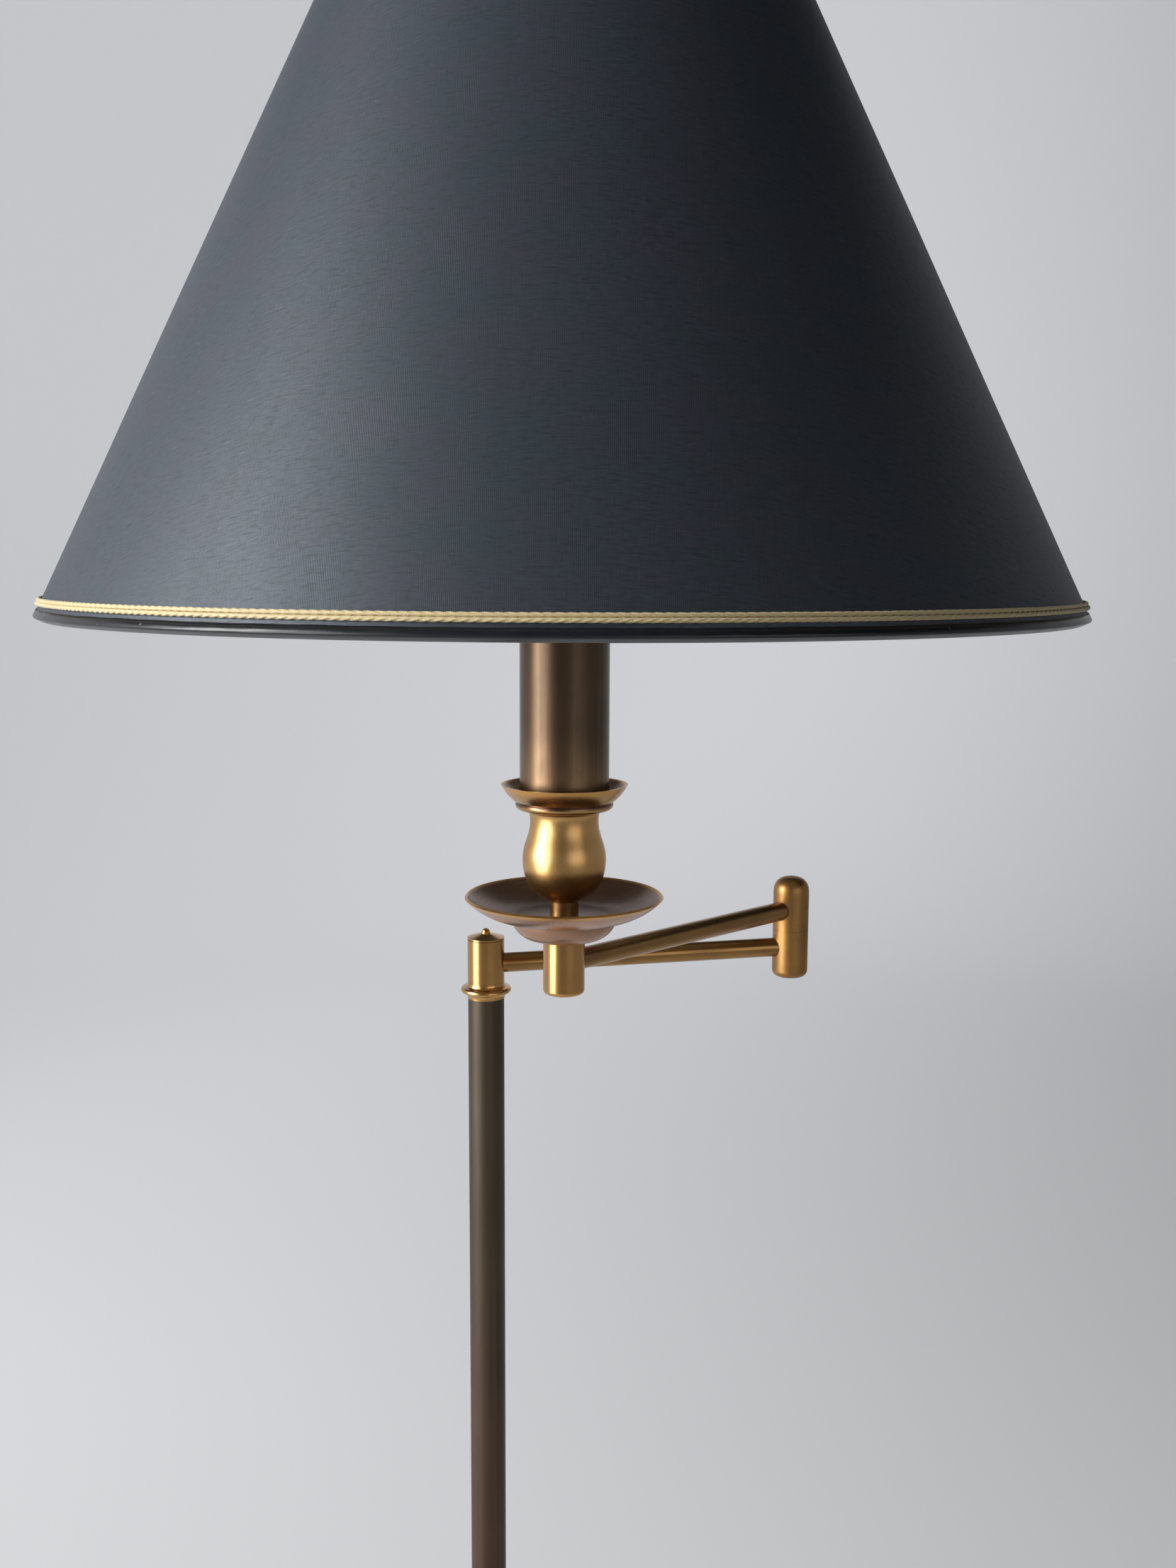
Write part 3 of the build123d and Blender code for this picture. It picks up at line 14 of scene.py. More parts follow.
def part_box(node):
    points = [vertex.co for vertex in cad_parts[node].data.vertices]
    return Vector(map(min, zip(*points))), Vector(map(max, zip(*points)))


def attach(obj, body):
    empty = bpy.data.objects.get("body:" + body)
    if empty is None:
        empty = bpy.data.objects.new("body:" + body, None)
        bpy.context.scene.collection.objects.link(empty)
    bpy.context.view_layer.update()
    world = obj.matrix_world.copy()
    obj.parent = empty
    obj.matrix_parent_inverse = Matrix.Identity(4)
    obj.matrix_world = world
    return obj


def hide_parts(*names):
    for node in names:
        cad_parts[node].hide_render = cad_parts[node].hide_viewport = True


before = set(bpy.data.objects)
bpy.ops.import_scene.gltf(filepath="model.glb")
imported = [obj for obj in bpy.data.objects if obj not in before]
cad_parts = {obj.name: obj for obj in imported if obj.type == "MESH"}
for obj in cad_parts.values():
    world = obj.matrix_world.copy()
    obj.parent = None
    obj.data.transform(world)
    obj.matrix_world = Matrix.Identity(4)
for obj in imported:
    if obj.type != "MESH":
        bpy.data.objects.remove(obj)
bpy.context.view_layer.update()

bl_info = {
    "name": "Swing arm floor lamp",
    "version": (1, 0, 0),
    "blender": (4, 5, 0),
    "location": "View3D > Sidebar > Lamp",
    "description": "Dresses the solids of a double swing arm floor lamp and sets its studio",
    "category": "Object",
}

MM = 0.001
TURN = 2 * math.pi
SHADE_NODE = "shade_cover"


# Measures taken from the frame


def solid(node):
    """The object that holds a node's solid."""
    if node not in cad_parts:
        raise RuntimeError(f"the frame has no node named {node}")
    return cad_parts[node]


def node_points(node):
    """The corner points of a solid's mesh."""
    return [vertex.co for vertex in solid(node).data.vertices]


def axis_of(node):
    """The upright line that a turned node is centred on, as its x and y."""
    low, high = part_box(node)
    return (low.x + high.x) / 2, (low.y + high.y) / 2


class ShadeCone:
    """The outer face of the shade, with places given up its slant and out from that face."""

    def __init__(self, node):
        self.x, self.y = axis_of(node)
        turned = [(math.hypot(p.x - self.x, p.y - self.y), p.z) for p in node_points(node)]
        self.bottom_radius, self.bottom = max(turned)
        self.top, self.top_radius = max((height, radius) for radius, height in turned)
        self.run = self.bottom_radius - self.top_radius
        self.rise = self.top - self.bottom
        self.slant = math.hypot(self.run, self.rise)

    def radius(self, along, out=0.0):
        """How far from the axis a place on the cone is."""
        return self.bottom_radius + (out * self.rise - along * self.run) / self.slant

    def point(self, angle, along, out=0.0):
        """A point by its bearing from the front, its way up the slant and its way out."""
        radius = self.radius(along, out)
        height = self.bottom + (along * self.rise + out * self.run) / self.slant
        return Vector((self.x + radius * math.sin(angle), self.y - radius * math.cos(angle), height))

    def place(self, point):
        """How far up the slant and how far out a point is."""
        inward = self.bottom_radius - math.hypot(point.x - self.x, point.y - self.y)
        upward = point.z - self.bottom
        along = (inward * self.run + upward * self.rise) / self.slant
        out = (upward * self.run - inward * self.rise) / self.slant
        return along, out

    def reach(self, node):
        """Lowest and highest way up the slant, and innermost and outermost way out, of a node."""
        places = [self.place(point) for point in node_points(node)]
        alongs, outs = zip(*places)
        return min(alongs), max(alongs), min(outs), max(outs)


# Finishes


class Value:
    """A node's output, on which Python arithmetic adds Math nodes."""

    def __init__(self, finish, output):
        self.finish = finish
        self.output = output

    def maths(self, operation, first, second):
        return self.finish.node("ShaderNodeMath", {"operation": operation}, {0: first, 1: second})

    def __add__(self, other):
        return self.maths("ADD", self, other)

    __radd__ = __add__

    def __sub__(self, other):
        return self.maths("SUBTRACT", self, other)

    def __rsub__(self, other):
        return self.maths("SUBTRACT", other, self)

    def __mul__(self, other):
        return self.maths("MULTIPLY", self, other)

    __rmul__ = __mul__

    def __pow__(self, other):
        return self.maths("POWER", self, other)

    def between(self, low, high):
        """0 below low, 1 above high and a smooth rise from one to the other."""
        return self.finish.node(
            "ShaderNodeMapRange",
            {"interpolation_type": "SMOOTHSTEP", "clamp": True},
            {"Value": self, "From Min": low, "From Max": high},
        )


# Places of the colour sockets on a Mix node, which has one set for each data type
MIX_FIRST, MIX_SECOND, MIX_COLOUR = 6, 7, 2


class Finish:
    """A material while its nodes are put together."""

    def __init__(self, name, **constants):
        self.material = bpy.data.materials.new(name)
        self.material.use_nodes = True
        self.tree = self.material.node_tree
        self.shader = self.tree.nodes["Principled BSDF"]
        for socket, value in constants.items():
            self.shader.inputs[socket.replace("_", " ")].default_value = value

    def node(self, kind, settings=None, inputs=None, output=0):
        """Adds a node, makes its settings, then feeds its sockets and gives one of its outputs."""
        made = self.tree.nodes.new(kind)
        for name, setting in (settings or {}).items():
            setattr(made, name, setting)
        for name, source in (inputs or {}).items():
            self.feed(made.inputs[name], source)
        return Value(self, made.outputs[output])

    def feed(self, socket, source):
        """Links a value to a socket, or sets the socket to a number, vector or colour."""
        if isinstance(source, Value):
            self.tree.links.new(source.output, socket)
        else:
            socket.default_value = source

    def surface(self, **sources):
        """Feeds the shader's sockets, named with underscores for spaces."""
        for name, source in sources.items():
            self.feed(self.shader.inputs[name.replace("_", " ")], source)
        return self.material

    def here(self):
        """The place on the object, in metres."""
        return self.node("ShaderNodeTexCoord", output="Object")

    def along(self, axis):
        """One coordinate of the place on the object: X, Y or Z."""
        return self.node("ShaderNodeSeparateXYZ", None, {0: self.here()}, axis)

    def reach_from(self, x, y):
        """How far the place on the object is from an upright line, in metres."""
        across = self.along("X") - x
        back = self.along("Y") - y
        return (across * across + back * back) ** 0.5

    def stretched(self, per_metre):
        """The place on the object with each axis scaled by itself."""
        return self.node("ShaderNodeVectorMath", {"operation": "MULTIPLY"}, {0: self.here(), 1: per_metre})

    def noise(self, vector, scale=1.0, detail=3.0, rough=0.55):
        """Soft noise from 0 to 1 over a vector."""
        return self.node(
            "ShaderNodeTexNoise", None, {"Vector": vector, "Scale": scale, "Detail": detail, "Roughness": rough}
        )

    def mix(self, share, first, second):
        """One colour going over into another as the share goes from 0 to 1."""
        first = first if isinstance(first, Value) else (*first[:3], 1)
        second = second if isinstance(second, Value) else (*second[:3], 1)
        sources = {"Factor": share, MIX_FIRST: first, MIX_SECOND: second}
        return self.node("ShaderNodeMix", {"data_type": "RGBA"}, sources, MIX_COLOUR)

    def seen(self):
        """1 where the camera, a reflection or a view through glass meets the surface, and else 0."""
        camera, glossy, through = (
            self.node("ShaderNodeLightPath", output=f"Is {ray} Ray") for ray in ("Camera", "Glossy", "Transmission")
        )
        return camera + glossy + through

    def bump(self, height, depth):
        """A normal that shows a height from 0 to 1 as that many metres."""
        return self.node("ShaderNodeBump", None, {"Strength": 1.0, "Distance": depth, "Height": height})


def scaled(colour, factor):
    """A colour made lighter or darker by a factor."""
    return tuple(channel * factor for channel in colour[:3])


RING_DEPTH = 0.006 * MM
STREAK_DEPTH = 0.012 * MM
POLE_STREAK_DEPTH = 0.015 * MM


def turning_marks(finish, tarnish):
    """Marks on turned brass: soft clouds, fine rings of the lathe, and the share of tarnish and specks."""
    clouds = finish.noise(finish.here(), 45, 4)
    rings = finish.noise(finish.stretched((15, 15, 1800)), 1, 2)
    specks = finish.noise(finish.here(), 1100, 2).between(0.70, 0.78)
    return clouds, rings, clouds.between(0.40, 0.75) * tarnish + specks * 0.15


def drawing_marks(finish, streak_scale, cloud_scale):
    """Marks on drawn tube: streaks along it, soft clouds, a fine grain, and the relief of streaks and grain."""
    streaks = finish.noise(finish.stretched(streak_scale), 1, 3)
    clouds = finish.noise(finish.here(), cloud_scale, 4)
    grain = finish.noise(finish.here(), 900, 2)
    return streaks, clouds, grain, streaks * 0.6 + grain * 0.4


def lathe_metal(name, colour, roughness, tarnish=0.4, lacquer=0.3):
    """Brass turned on a lathe under old lacquer: fine rings, faint clouds of tarnish and a few specks."""
    finish = Finish(name, Metallic=1.0, Coat_Weight=lacquer, Coat_Roughness=roughness)
    _, rings, share = turning_marks(finish, tarnish)
    return finish.surface(
        Base_Color=finish.mix(share, colour, scaled(colour, 0.42)),
        Roughness=roughness + share * 0.12 + (rings - 0.5) * 0.06,
        Normal=finish.bump(rings, RING_DEPTH),
    )


def arm_brass(settings):
    """Drawn brass tube of the arms: faint streaks along it and soft clouds of tarnish under old lacquer."""
    colour = scaled(settings.satin, 0.6)
    finish = Finish("arm_brass", Metallic=1.0, Coat_Weight=0.3, Coat_Roughness=0.224)
    streaks, clouds, grain, relief = drawing_marks(finish, (40, 40, 260), 30)
    share = (streaks * 0.5 + clouds * 0.5).between(0.38, 0.66) * 0.5
    return finish.surface(
        Base_Color=finish.mix(share, colour, scaled(colour, 0.45)),
        Roughness=0.28 + share * 0.12 + (grain - 0.5) * 0.06,
        Normal=finish.bump(relief, STREAK_DEPTH),
    )


def candle_bronze(settings, bottom):
    """Aged drawn tube under clear lacquer, its colour lighter near the cup that it stands in."""
    finish = Finish("candle_bronze", Metallic=1.0, Coat_Weight=0.45, Coat_Roughness=0.30)
    streaks, clouds, grain, relief = drawing_marks(finish, (420, 420, 10), 30)
    # Share of the lighter colour, over the lowest few centimetres of the tube
    lighter_near_cup = 1 - (finish.along("Z") + clouds * 20 * MM).between(bottom + 10 * MM, bottom + 45 * MM)
    share = (streaks * 0.5 + clouds * 0.5).between(0.38, 0.66)
    colour = finish.mix(lighter_near_cup, settings.aged, scaled(settings.aged, 2.2))
    return finish.surface(
        Base_Color=finish.mix(share * 0.5, colour, scaled(settings.aged, 0.45)),
        Roughness=0.36 + share * 0.06 + (grain - 0.5) * 0.06,
        Normal=finish.bump(relief, STREAK_DEPTH),
    )


def spun_brass(settings, node, outside):
    """Spun dish or cup: dark rose patina on the faces inside, deepened as painted shade in the hollow, rubbed paler
    outside and golden on the rim.
    """
    finish = Finish(f"{node}_brass", Metallic=1.0, Coat_Weight=0.2, Coat_Roughness=0.25)
    clouds, rings, share = turning_marks(finish, tarnish=0.4)
    low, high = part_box(node)
    rim = (high.x - low.x) / 2
    reach = finish.reach_from(*axis_of(node)) + (clouds - 0.5) * 2 * MM
    worn = reach.between(rim - 2.2 * MM, rim - 0.8 * MM)
    faces = finish.node("ShaderNodeTexCoord", output="Normal")
    # Upward faces inside the hollow take the dark rose: partly patina, partly painted shade
    inside = finish.node("ShaderNodeSeparateXYZ", None, {0: faces}, "Z").between(-0.1, 0.2)
    colour = finish.mix(inside, outside, settings.rose)
    colour = finish.mix(share, colour, scaled(settings.rose, 0.45))
    return finish.surface(
        Base_Color=finish.mix(worn, colour, settings.satin),
        Roughness=0.27 + share * 0.12 + (rings - 0.5) * 0.06,
        Normal=finish.bump(rings, RING_DEPTH),
    )


def pole_bronze(settings):
    """Satin bronze patina on the pole, olive at its top, with drawn streaks; its colour turns redder towards the
    floor as a painted reflection of the room.
    """
    finish = Finish("pole_bronze", Metallic=1.0, Coat_Weight=0.15, Coat_Roughness=0.35)
    streaks, clouds, grain, relief = drawing_marks(finish, (210, 210, 3), 16)
    # Painted reflection: the pole's colour turns redder towards the floor
    low = 1 - finish.along("Z").between(0.55, 0.92)
    warm = finish.mix(low, settings.bronze, settings.bronze_reflected_red)
    share = (streaks * 0.6 + clouds * 0.4).between(0.36, 0.66)
    return finish.surface(
        Base_Color=finish.mix(share * 0.6, warm, scaled(settings.bronze, 0.5)),
        Roughness=0.45 + share * 0.10 + (grain - 0.5) * 0.06,
        Normal=finish.bump(relief, POLE_STREAK_DEPTH),
    )


def bare_steel():
    """Plain zinc grey steel with faint mottling."""
    finish = Finish("bare_steel", Metallic=1.0)
    grain = finish.noise(finish.here(), 450, 4)
    clouds = finish.noise(finish.here(), 60, 3)
    colour = finish.mix(clouds, (0.50, 0.50, 0.50), (0.36, 0.36, 0.37))
    return finish.surface(Base_Color=colour, Roughness=0.28 + grain * 0.2, Normal=finish.bump(grain, 0.03 * MM))


def cast_iron():
    """Sand cast iron of the hidden weight."""
    finish = Finish("cast_iron", Metallic=0.6)
    sand = finish.noise(finish.here(), 700, 4)
    colour = finish.mix(sand, (0.05, 0.05, 0.055), (0.11, 0.105, 0.10))
    return finish.surface(Base_Color=colour, Roughness=0.6 + sand * 0.25, Normal=finish.bump(sand, 0.3 * MM))


def pressed_fibre():
    """Red-brown fibre of the socket's liner."""
    finish = Finish("pressed_fibre")
    grain = finish.noise(finish.here(), 900, 3)
    colour = finish.mix(grain, (0.16, 0.06, 0.035), (0.28, 0.12, 0.06))
    return finish.surface(Base_Color=colour, Roughness=0.55 + grain * 0.2, Normal=finish.bump(grain, 0.05 * MM))


def moulded_black():
    """Black moulding of the switch key, the socket's inside and the cord bushing."""
    finish = Finish("moulded_black")
    haze = finish.noise(finish.here(), 180, 3)
    colour = finish.mix(haze, (0.010, 0.010, 0.011), (0.022, 0.021, 0.021))
    return finish.surface(Base_Color=colour, Roughness=0.26 + haze * 0.16, Normal=finish.bump(haze, 0.02 * MM))


def frosted_glass():
    """White glass of the bulb, a little cloudy."""
    finish = Finish("frosted_glass", Coat_Weight=0.25, Coat_Roughness=0.25)
    cloud = finish.noise(finish.here(), 70, 3)
    colour = finish.mix(cloud, (0.80, 0.80, 0.78), (0.88, 0.88, 0.86))
    return finish.surface(Base_Color=colour, Roughness=0.38 + cloud * 0.12)


def lining_sheet(settings):
    """Warm white sheet that backs the cloth inside the shade."""
    finish = Finish("lining_sheet")
    pulp = finish.noise(finish.here(), 240, 4)
    warm = finish.noise(finish.here(), 14, 3)
    colour = finish.mix(warm * 0.6, settings.lining_colour, scaled(settings.lining_colour, 0.86))
    return finish.surface(Base_Color=colour, Roughness=0.5 + pulp * 0.15, Normal=finish.bump(pulp, 0.05 * MM))


def shade_fabric(settings, cone):
    """Slate cloth, its threads straight in the flat cut.

    Fine warp ribs fade in and out, and the weft has short dark dashes and pale slubs.
    """
    finish = Finish(
        "shade_fabric",
        Sheen_Weight=settings.cloth_sheen, Sheen_Roughness=0.4, Sheen_Tint=(0.80, 0.86, 1.0, 1),
        Specular_IOR_Level=0.60, Specular_Tint=(0.80, 0.91, 1.0, 1),
    )
    across = finish.along("X") - cone.x
    back = cone.y - finish.along("Y")
    bearing = finish.node("ShaderNodeMath", {"operation": "ARCTAN2"}, {0: across, 1: back})
    angle = bearing * (cone.run / cone.slant)
    reach = finish.reach_from(cone.x, cone.y) * (cone.slant / cone.run)
    along_weft = reach * finish.node("ShaderNodeMath", {"operation": "SINE"}, {0: angle})
    along_warp = reach * finish.node("ShaderNodeMath", {"operation": "COSINE"}, {0: angle})
    cloth = finish.node("ShaderNodeCombineXYZ", None, {0: along_weft, 1: along_warp})

    def threads(weft_scale, warp_scale, detail):
        """Noise drawn out along one set of threads, with its scales per metre of cloth."""
        grid = finish.node(
            "ShaderNodeVectorMath", {"operation": "MULTIPLY"}, {0: cloth, 1: (weft_scale, warp_scale, 1)}
        )
        return finish.noise(grid, 1, detail)

    wave = finish.node("ShaderNodeMath", {"operation": "SINE"}, {0: along_weft * (TURN / settings.weave_pitch)})
    ribs = wave * 0.5 * threads(45, 25, 3).between(0.38, 0.66) + 0.25
    weft = threads(240, 1 / settings.weave_pitch, 2)
    warp = threads(1 / settings.weave_pitch, 160, 2)
    dashes = threads(140, 900, 2).between(0.48, 0.80)
    slubs = threads(120, 800, 2).between(0.62, 0.84)
    tint = threads(30, 45, 3).between(0.35, 0.65)
    weave = weft * 0.45 + warp * 0.25 + ribs * 0.30
    share = (weave * 1.1 - dashes * 0.24).between(0.16, 0.64)
    red, green, blue = settings.cloth_colour
    hue = finish.mix(tint, (red * 1.17, green * 0.95, blue * 1.05), (red * 0.89, green * 1.03, blue * 1.01))
    pale = finish.mix(tint, (red * 2.1, green * 1.85, blue * 1.95), (red * 1.8, green * 2.0, blue * 1.9))
    colour = finish.mix(share, scaled(settings.cloth_colour, 0.55), hue)
    colour = finish.mix(share * share * 0.3 + slubs * 0.45, colour, pale)
    return finish.surface(
        Base_Color=colour,
        Roughness=0.54 - slubs * 0.10 - (share - 0.5) * 0.12,
        Normal=finish.bump(weave + slubs * 0.6 - dashes * 0.15, settings.slub_depth),
    )


def glossy_tape(settings):
    """Glossy black binding tape with pale chips where its fold has rubbed."""
    finish = Finish("glossy_tape", Coat_Weight=0.15, Coat_Roughness=0.12, Specular_IOR_Level=0.35)
    creases = finish.noise(finish.stretched((90, 90, 700)), 1, 3)
    chips = finish.noise(finish.here(), 240, 3).between(0.70, 0.76)
    colour = finish.mix(creases, scaled(settings.tape_colour, 0.7), scaled(settings.tape_colour, 1.4))
    colour = finish.mix(chips * 0.7, colour, (0.42, 0.43, 0.44))
    rough = 0.22 + creases * 0.2 + chips * 0.3
    return finish.surface(Base_Color=colour, Roughness=rough, Normal=finish.bump(creases, 0.12 * MM))


def gold_yarn(settings):
    """Cream gold satin yarn of the twisted cords."""
    finish = Finish("gold_yarn", Sheen_Weight=0.35, Sheen_Roughness=0.35)
    fibres = finish.noise(finish.here(), 1500, 3)
    faded = finish.noise(finish.here(), 16, 3)
    colour = finish.mix(faded, settings.cord_colour, scaled(settings.cord_colour, 0.72))
    colour = finish.mix(fibres.between(0.35, 0.75) * 0.5, colour, scaled(settings.cord_colour, 0.5))
    return finish.surface(
        Base_Color=colour, Roughness=0.42 + fibres * 0.2, Normal=finish.bump(fibres, 0.06 * MM)
    )


def pressed_felt(settings):
    """Matted green-black felt under the base."""
    finish = Finish("pressed_felt", Sheen_Weight=0.5)
    wool = finish.noise(finish.here(), 1100, 5, 0.7)
    lumps = finish.noise(finish.here(), 130, 3)
    colour = finish.mix(wool, scaled(settings.felt_colour, 0.6), scaled(settings.felt_colour, 1.5))
    return finish.surface(
        Base_Color=colour, Roughness=0.9 + wool * 0.08, Normal=finish.bump(wool * 0.7 + lumps * 0.3, 0.4 * MM)
    )


def dress(material, *nodes):
    """Gives CAD nodes a finish."""
    for node in nodes:
        materials = solid(node).data.materials
        materials.clear()
        materials.append(material)


# Meshes


def arc(centre, radius, start, end, steps):
    """Points on an arc in a plane, both ends among them."""
    angles = [start + (end - start) * step / steps for step in range(steps + 1)]
    return [(centre[0] + radius * math.cos(a), centre[1] + radius * math.sin(a)) for a in angles]


def lofted(name, rings, wrap_rings=False, wrap_points=False):
    """A smooth mesh of quads through rings of points."""
    count = len(rings[0])
    corners = [point for ring in rings for point in ring]
    faces = []
    for row in range(len(rings) if wrap_rings else len(rings) - 1):
        upper = (row + 1) % len(rings)
        for place in range(count if wrap_points else count - 1):
            beside = (place + 1) % count
            faces.append((
                row * count + place,
                row * count + beside,
                upper * count + beside,
                upper * count + place,
            ))
    mesh = bpy.data.meshes.new(name)
    mesh.from_pydata(corners, [], faces)
    mesh.shade_smooth()
    piece = bpy.data.objects.new(name, mesh)
    bpy.context.scene.collection.objects.link(piece)
    return piece


def joined(name, parts):
    """One object from several, under a new name."""
    bpy.ops.object.select_all(action="DESELECT")
    for part in parts:
        part.select_set(True)
    bpy.context.view_layer.objects.active = parts[0]
    if "FINISHED" not in bpy.ops.object.join():
        raise RuntimeError(f"the parts of {name} could not be joined")
    parts[0].name = name
    parts[0].data.name = name
    return parts[0]


def thickened(piece, thickness):
    """Gives a one-layer piece a thickness behind its face."""
    solidify = piece.modifiers.new("thickness", "SOLIDIFY")
    solidify.thickness = thickness
    solidify.offset = -1


def stand_for(piece, body, slot, material, *nodes):
    """Puts a made piece in the place of CAD nodes, on their body and with their finish."""
    piece.data.materials.append(material)
    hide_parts(*nodes)
    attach(piece, body)
    return piece


CLOTH_ROWS = 48
CLOTH_COLUMNS = 480
LAP_LIFT = 0.6  # share of its thickness by which the cloth's lapped end stands up


def cloth_piece(settings, cone):
    """The shade's cloth: one cut sheet wrapped round the cone, its end lapped over its start at the back."""
    lap = settings.lap_width / cone.bottom_radius
    thickness = -cone.reach(SHADE_NODE)[2]
    lift = thickness * LAP_LIFT
    rings = []
    for row in range(CLOTH_ROWS + 1):
        up = row / CLOTH_ROWS
        along = cone.slant * up
        ring = []
        for column in range(CLOTH_COLUMNS + 1):
            bearing = -math.pi + column / CLOTH_COLUMNS * (TURN + lap)
            past_lap = max(0.0, (bearing - math.pi + 2 * lap) / (3 * lap))
            ripple = math.sin(7 * bearing + 9 * up) * math.sin(3 * bearing - 4 * up)
            out = lift * past_lap * past_lap * (3 - 2 * past_lap) + settings.cloth_ripple * (ripple - 1)
            ring.append(cone.point(bearing, along, out))
        rings.append(ring)
    piece = lofted("shade_cloth", rings)
    thickened(piece, thickness - settings.cloth_ripple * 2)
    return piece


TAPE_COLUMNS = 720
TAPE_ARC_STEPS = 5
TAPE_INNER_FOLD = 1.6 * MM
TAPE_WOBBLE = 0.12 * MM


def tape_section(reach, outer_width, outward_fold, inward_fold):
    """The tape's face from its outer edge round the fold to its inner edge, as along and out.

    Along counts from the shade's edge into the cloth.
    """
    fold, inner_width, inner, outer = reach
    section = [(outer_width, outer)]
    section += arc((fold + outward_fold, outer - outward_fold), outward_fold, math.pi / 2, math.pi, TAPE_ARC_STEPS)
    section += arc((fold + inward_fold, inner + inward_fold), inward_fold, math.pi, math.pi * 1.5, TAPE_ARC_STEPS)
    section += [(inner_width * 0.6, inner), (inner_width, inner)]
    return section


def tape_piece(settings, cone, name, node, edge, inward, spokes=()):
    """Binding tape folded over an edge of the shade, slit where a spoke of the spider comes through."""
    low, high, inner, outer = cone.reach(node)
    ends = sorted((inward * (low - edge), inward * (high - edge)))
    section = tape_section((*ends, inner, outer), settings.tape_outer_width, settings.tape_fold, TAPE_INNER_FOLD)
    slit = settings.tape_slit / 2
    radius = cone.radius(edge)
    rings = []
    for along, out in section:
        ring = []
        for column in range(TAPE_COLUMNS):
            bearing = TURN * column / TAPE_COLUMNS
            wobble = TAPE_WOBBLE * math.sin(23 * bearing) * math.sin(41 * bearing)
            kept = along
            if out < outer / 2 and any(abs(math.remainder(bearing - s, TURN)) * radius < slit for s in spokes):
                kept = min(along, ends[0] + TAPE_INNER_FOLD)
            elif along > 0:
                kept = along + wobble
            ring.append(cone.point(bearing, edge + inward * kept, out))
        rings.append(ring)
    piece = lofted(name, rings if inward < 0 else rings[::-1], wrap_points=True)
    thickened(piece, settings.tape_thickness)
    return piece, sum(math.dist(a, b) for a, b in zip(section, section[1:]))


CORD_POINTS = 15
CORD_STEPS_PER_TURN = 9
CORD_STRANDS = 3
STRAND_DEPTH = 0.36  # share of the cord's radius that the grooves go in
STRAND_ROUNDING = 0.7


def twisted_cord(name, cone, along, out, radius, lay, hand):
    """A cord of twisted strands laid round the shade, its lobed section turning as it goes."""
    turns = round(cone.radius(along, out) * TURN / lay)
    steps = turns * CORD_STEPS_PER_TURN
    rings = []
    for step in range(steps):
        bearing = TURN * step / steps
        twist = hand * TURN * step / CORD_STEPS_PER_TURN
        ring = []
        for place in range(CORD_POINTS):
            angle = TURN * place / CORD_POINTS
            lobe = abs(math.cos(CORD_STRANDS * (angle - twist / CORD_STRANDS) / 2)) ** STRAND_ROUNDING
            reach = radius * (1 - STRAND_DEPTH + STRAND_DEPTH * lobe)
            ring.append(cone.point(bearing, along + reach * math.sin(angle), out + reach * math.cos(angle)))
        rings.append(ring)
    return lofted(name, rings, wrap_rings=True, wrap_points=True)


def cord_pair(settings, cone, name, node, edge, inward):
    """Two cords of opposite twist laid on the cloth side by side, so that their strands meet in a chevron."""
    radius = settings.cord_diameter / 2
    out = cone.reach(node)[2] + radius
    cords = []
    for place, hand in ((1, 1), (3, -1)):
        along = edge + inward * (settings.cord_edge + place * radius)
        cords.append(twisted_cord(f"{name}_{place}", cone, along, out, radius, settings.cord_lay, hand))
    return joined(name, cords)


FELT_RINGS = 12
FELT_COLUMNS = 180
FELT_ARC_STEPS = 4
FELT_EDGE = 0.3  # rounding of the rim, as a share of the felt's thickness
FELT_FRAY = 0.002  # how far the rim frays, as a share of its radius
WELD_REACH = 0.01 * MM


def felt_piece():
    """The felt disc: flat below, a soft uneven rim and a flat top against the weight."""
    low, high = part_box("base_felt")
    radius, thickness = (high.x - low.x) / 2, high.z - low.z
    edge = thickness * FELT_EDGE
    profile = [(radius * ring / FELT_RINGS, low.z) for ring in range(1, FELT_RINGS)]
    profile += arc((radius - edge, low.z + edge), edge, -math.pi / 2, 0, FELT_ARC_STEPS)
    profile += arc((radius - edge, high.z - edge), edge, 0, math.pi / 2, FELT_ARC_STEPS)
    profile += [(radius * ring / FELT_RINGS, high.z) for ring in range(FELT_RINGS - 1, 0, -1)]
    rings = []
    for reach, height in profile:
        ring = []
        for column in range(FELT_COLUMNS):
            angle = TURN * column / FELT_COLUMNS
            fray = 1 - FELT_FRAY * (1 + math.sin(31 * angle) * math.sin(17 * angle))
            ring.append(Vector((reach * fray * math.cos(angle), reach * fray * math.sin(angle), height)))
        rings.append(ring)
    middle = [[Vector((0, 0, height))] * FELT_COLUMNS for height in (low.z, high.z)]
    piece = lofted("felt_pad", [middle[0], *rings, middle[1]], wrap_points=True)
    weld = piece.modifiers.new("centre", "WELD")
    weld.merge_threshold = WELD_REACH
    return piece, radius


# Settings


def colour_setting(name, description, default):
    """A colour that a user may change."""
    return FloatVectorProperty(
        name=name, description=description, subtype="COLOR", size=3, min=0, max=1, default=default
    )


def length_setting(name, description, default):
    """A length that a user may change."""
    return FloatProperty(name=name, description=description, unit="LENGTH", min=0, default=default, precision=5)


def power_setting(name, description, default):
    """The power of a light."""
    return FloatProperty(name=name, description=description, unit="POWER", min=0, default=default)


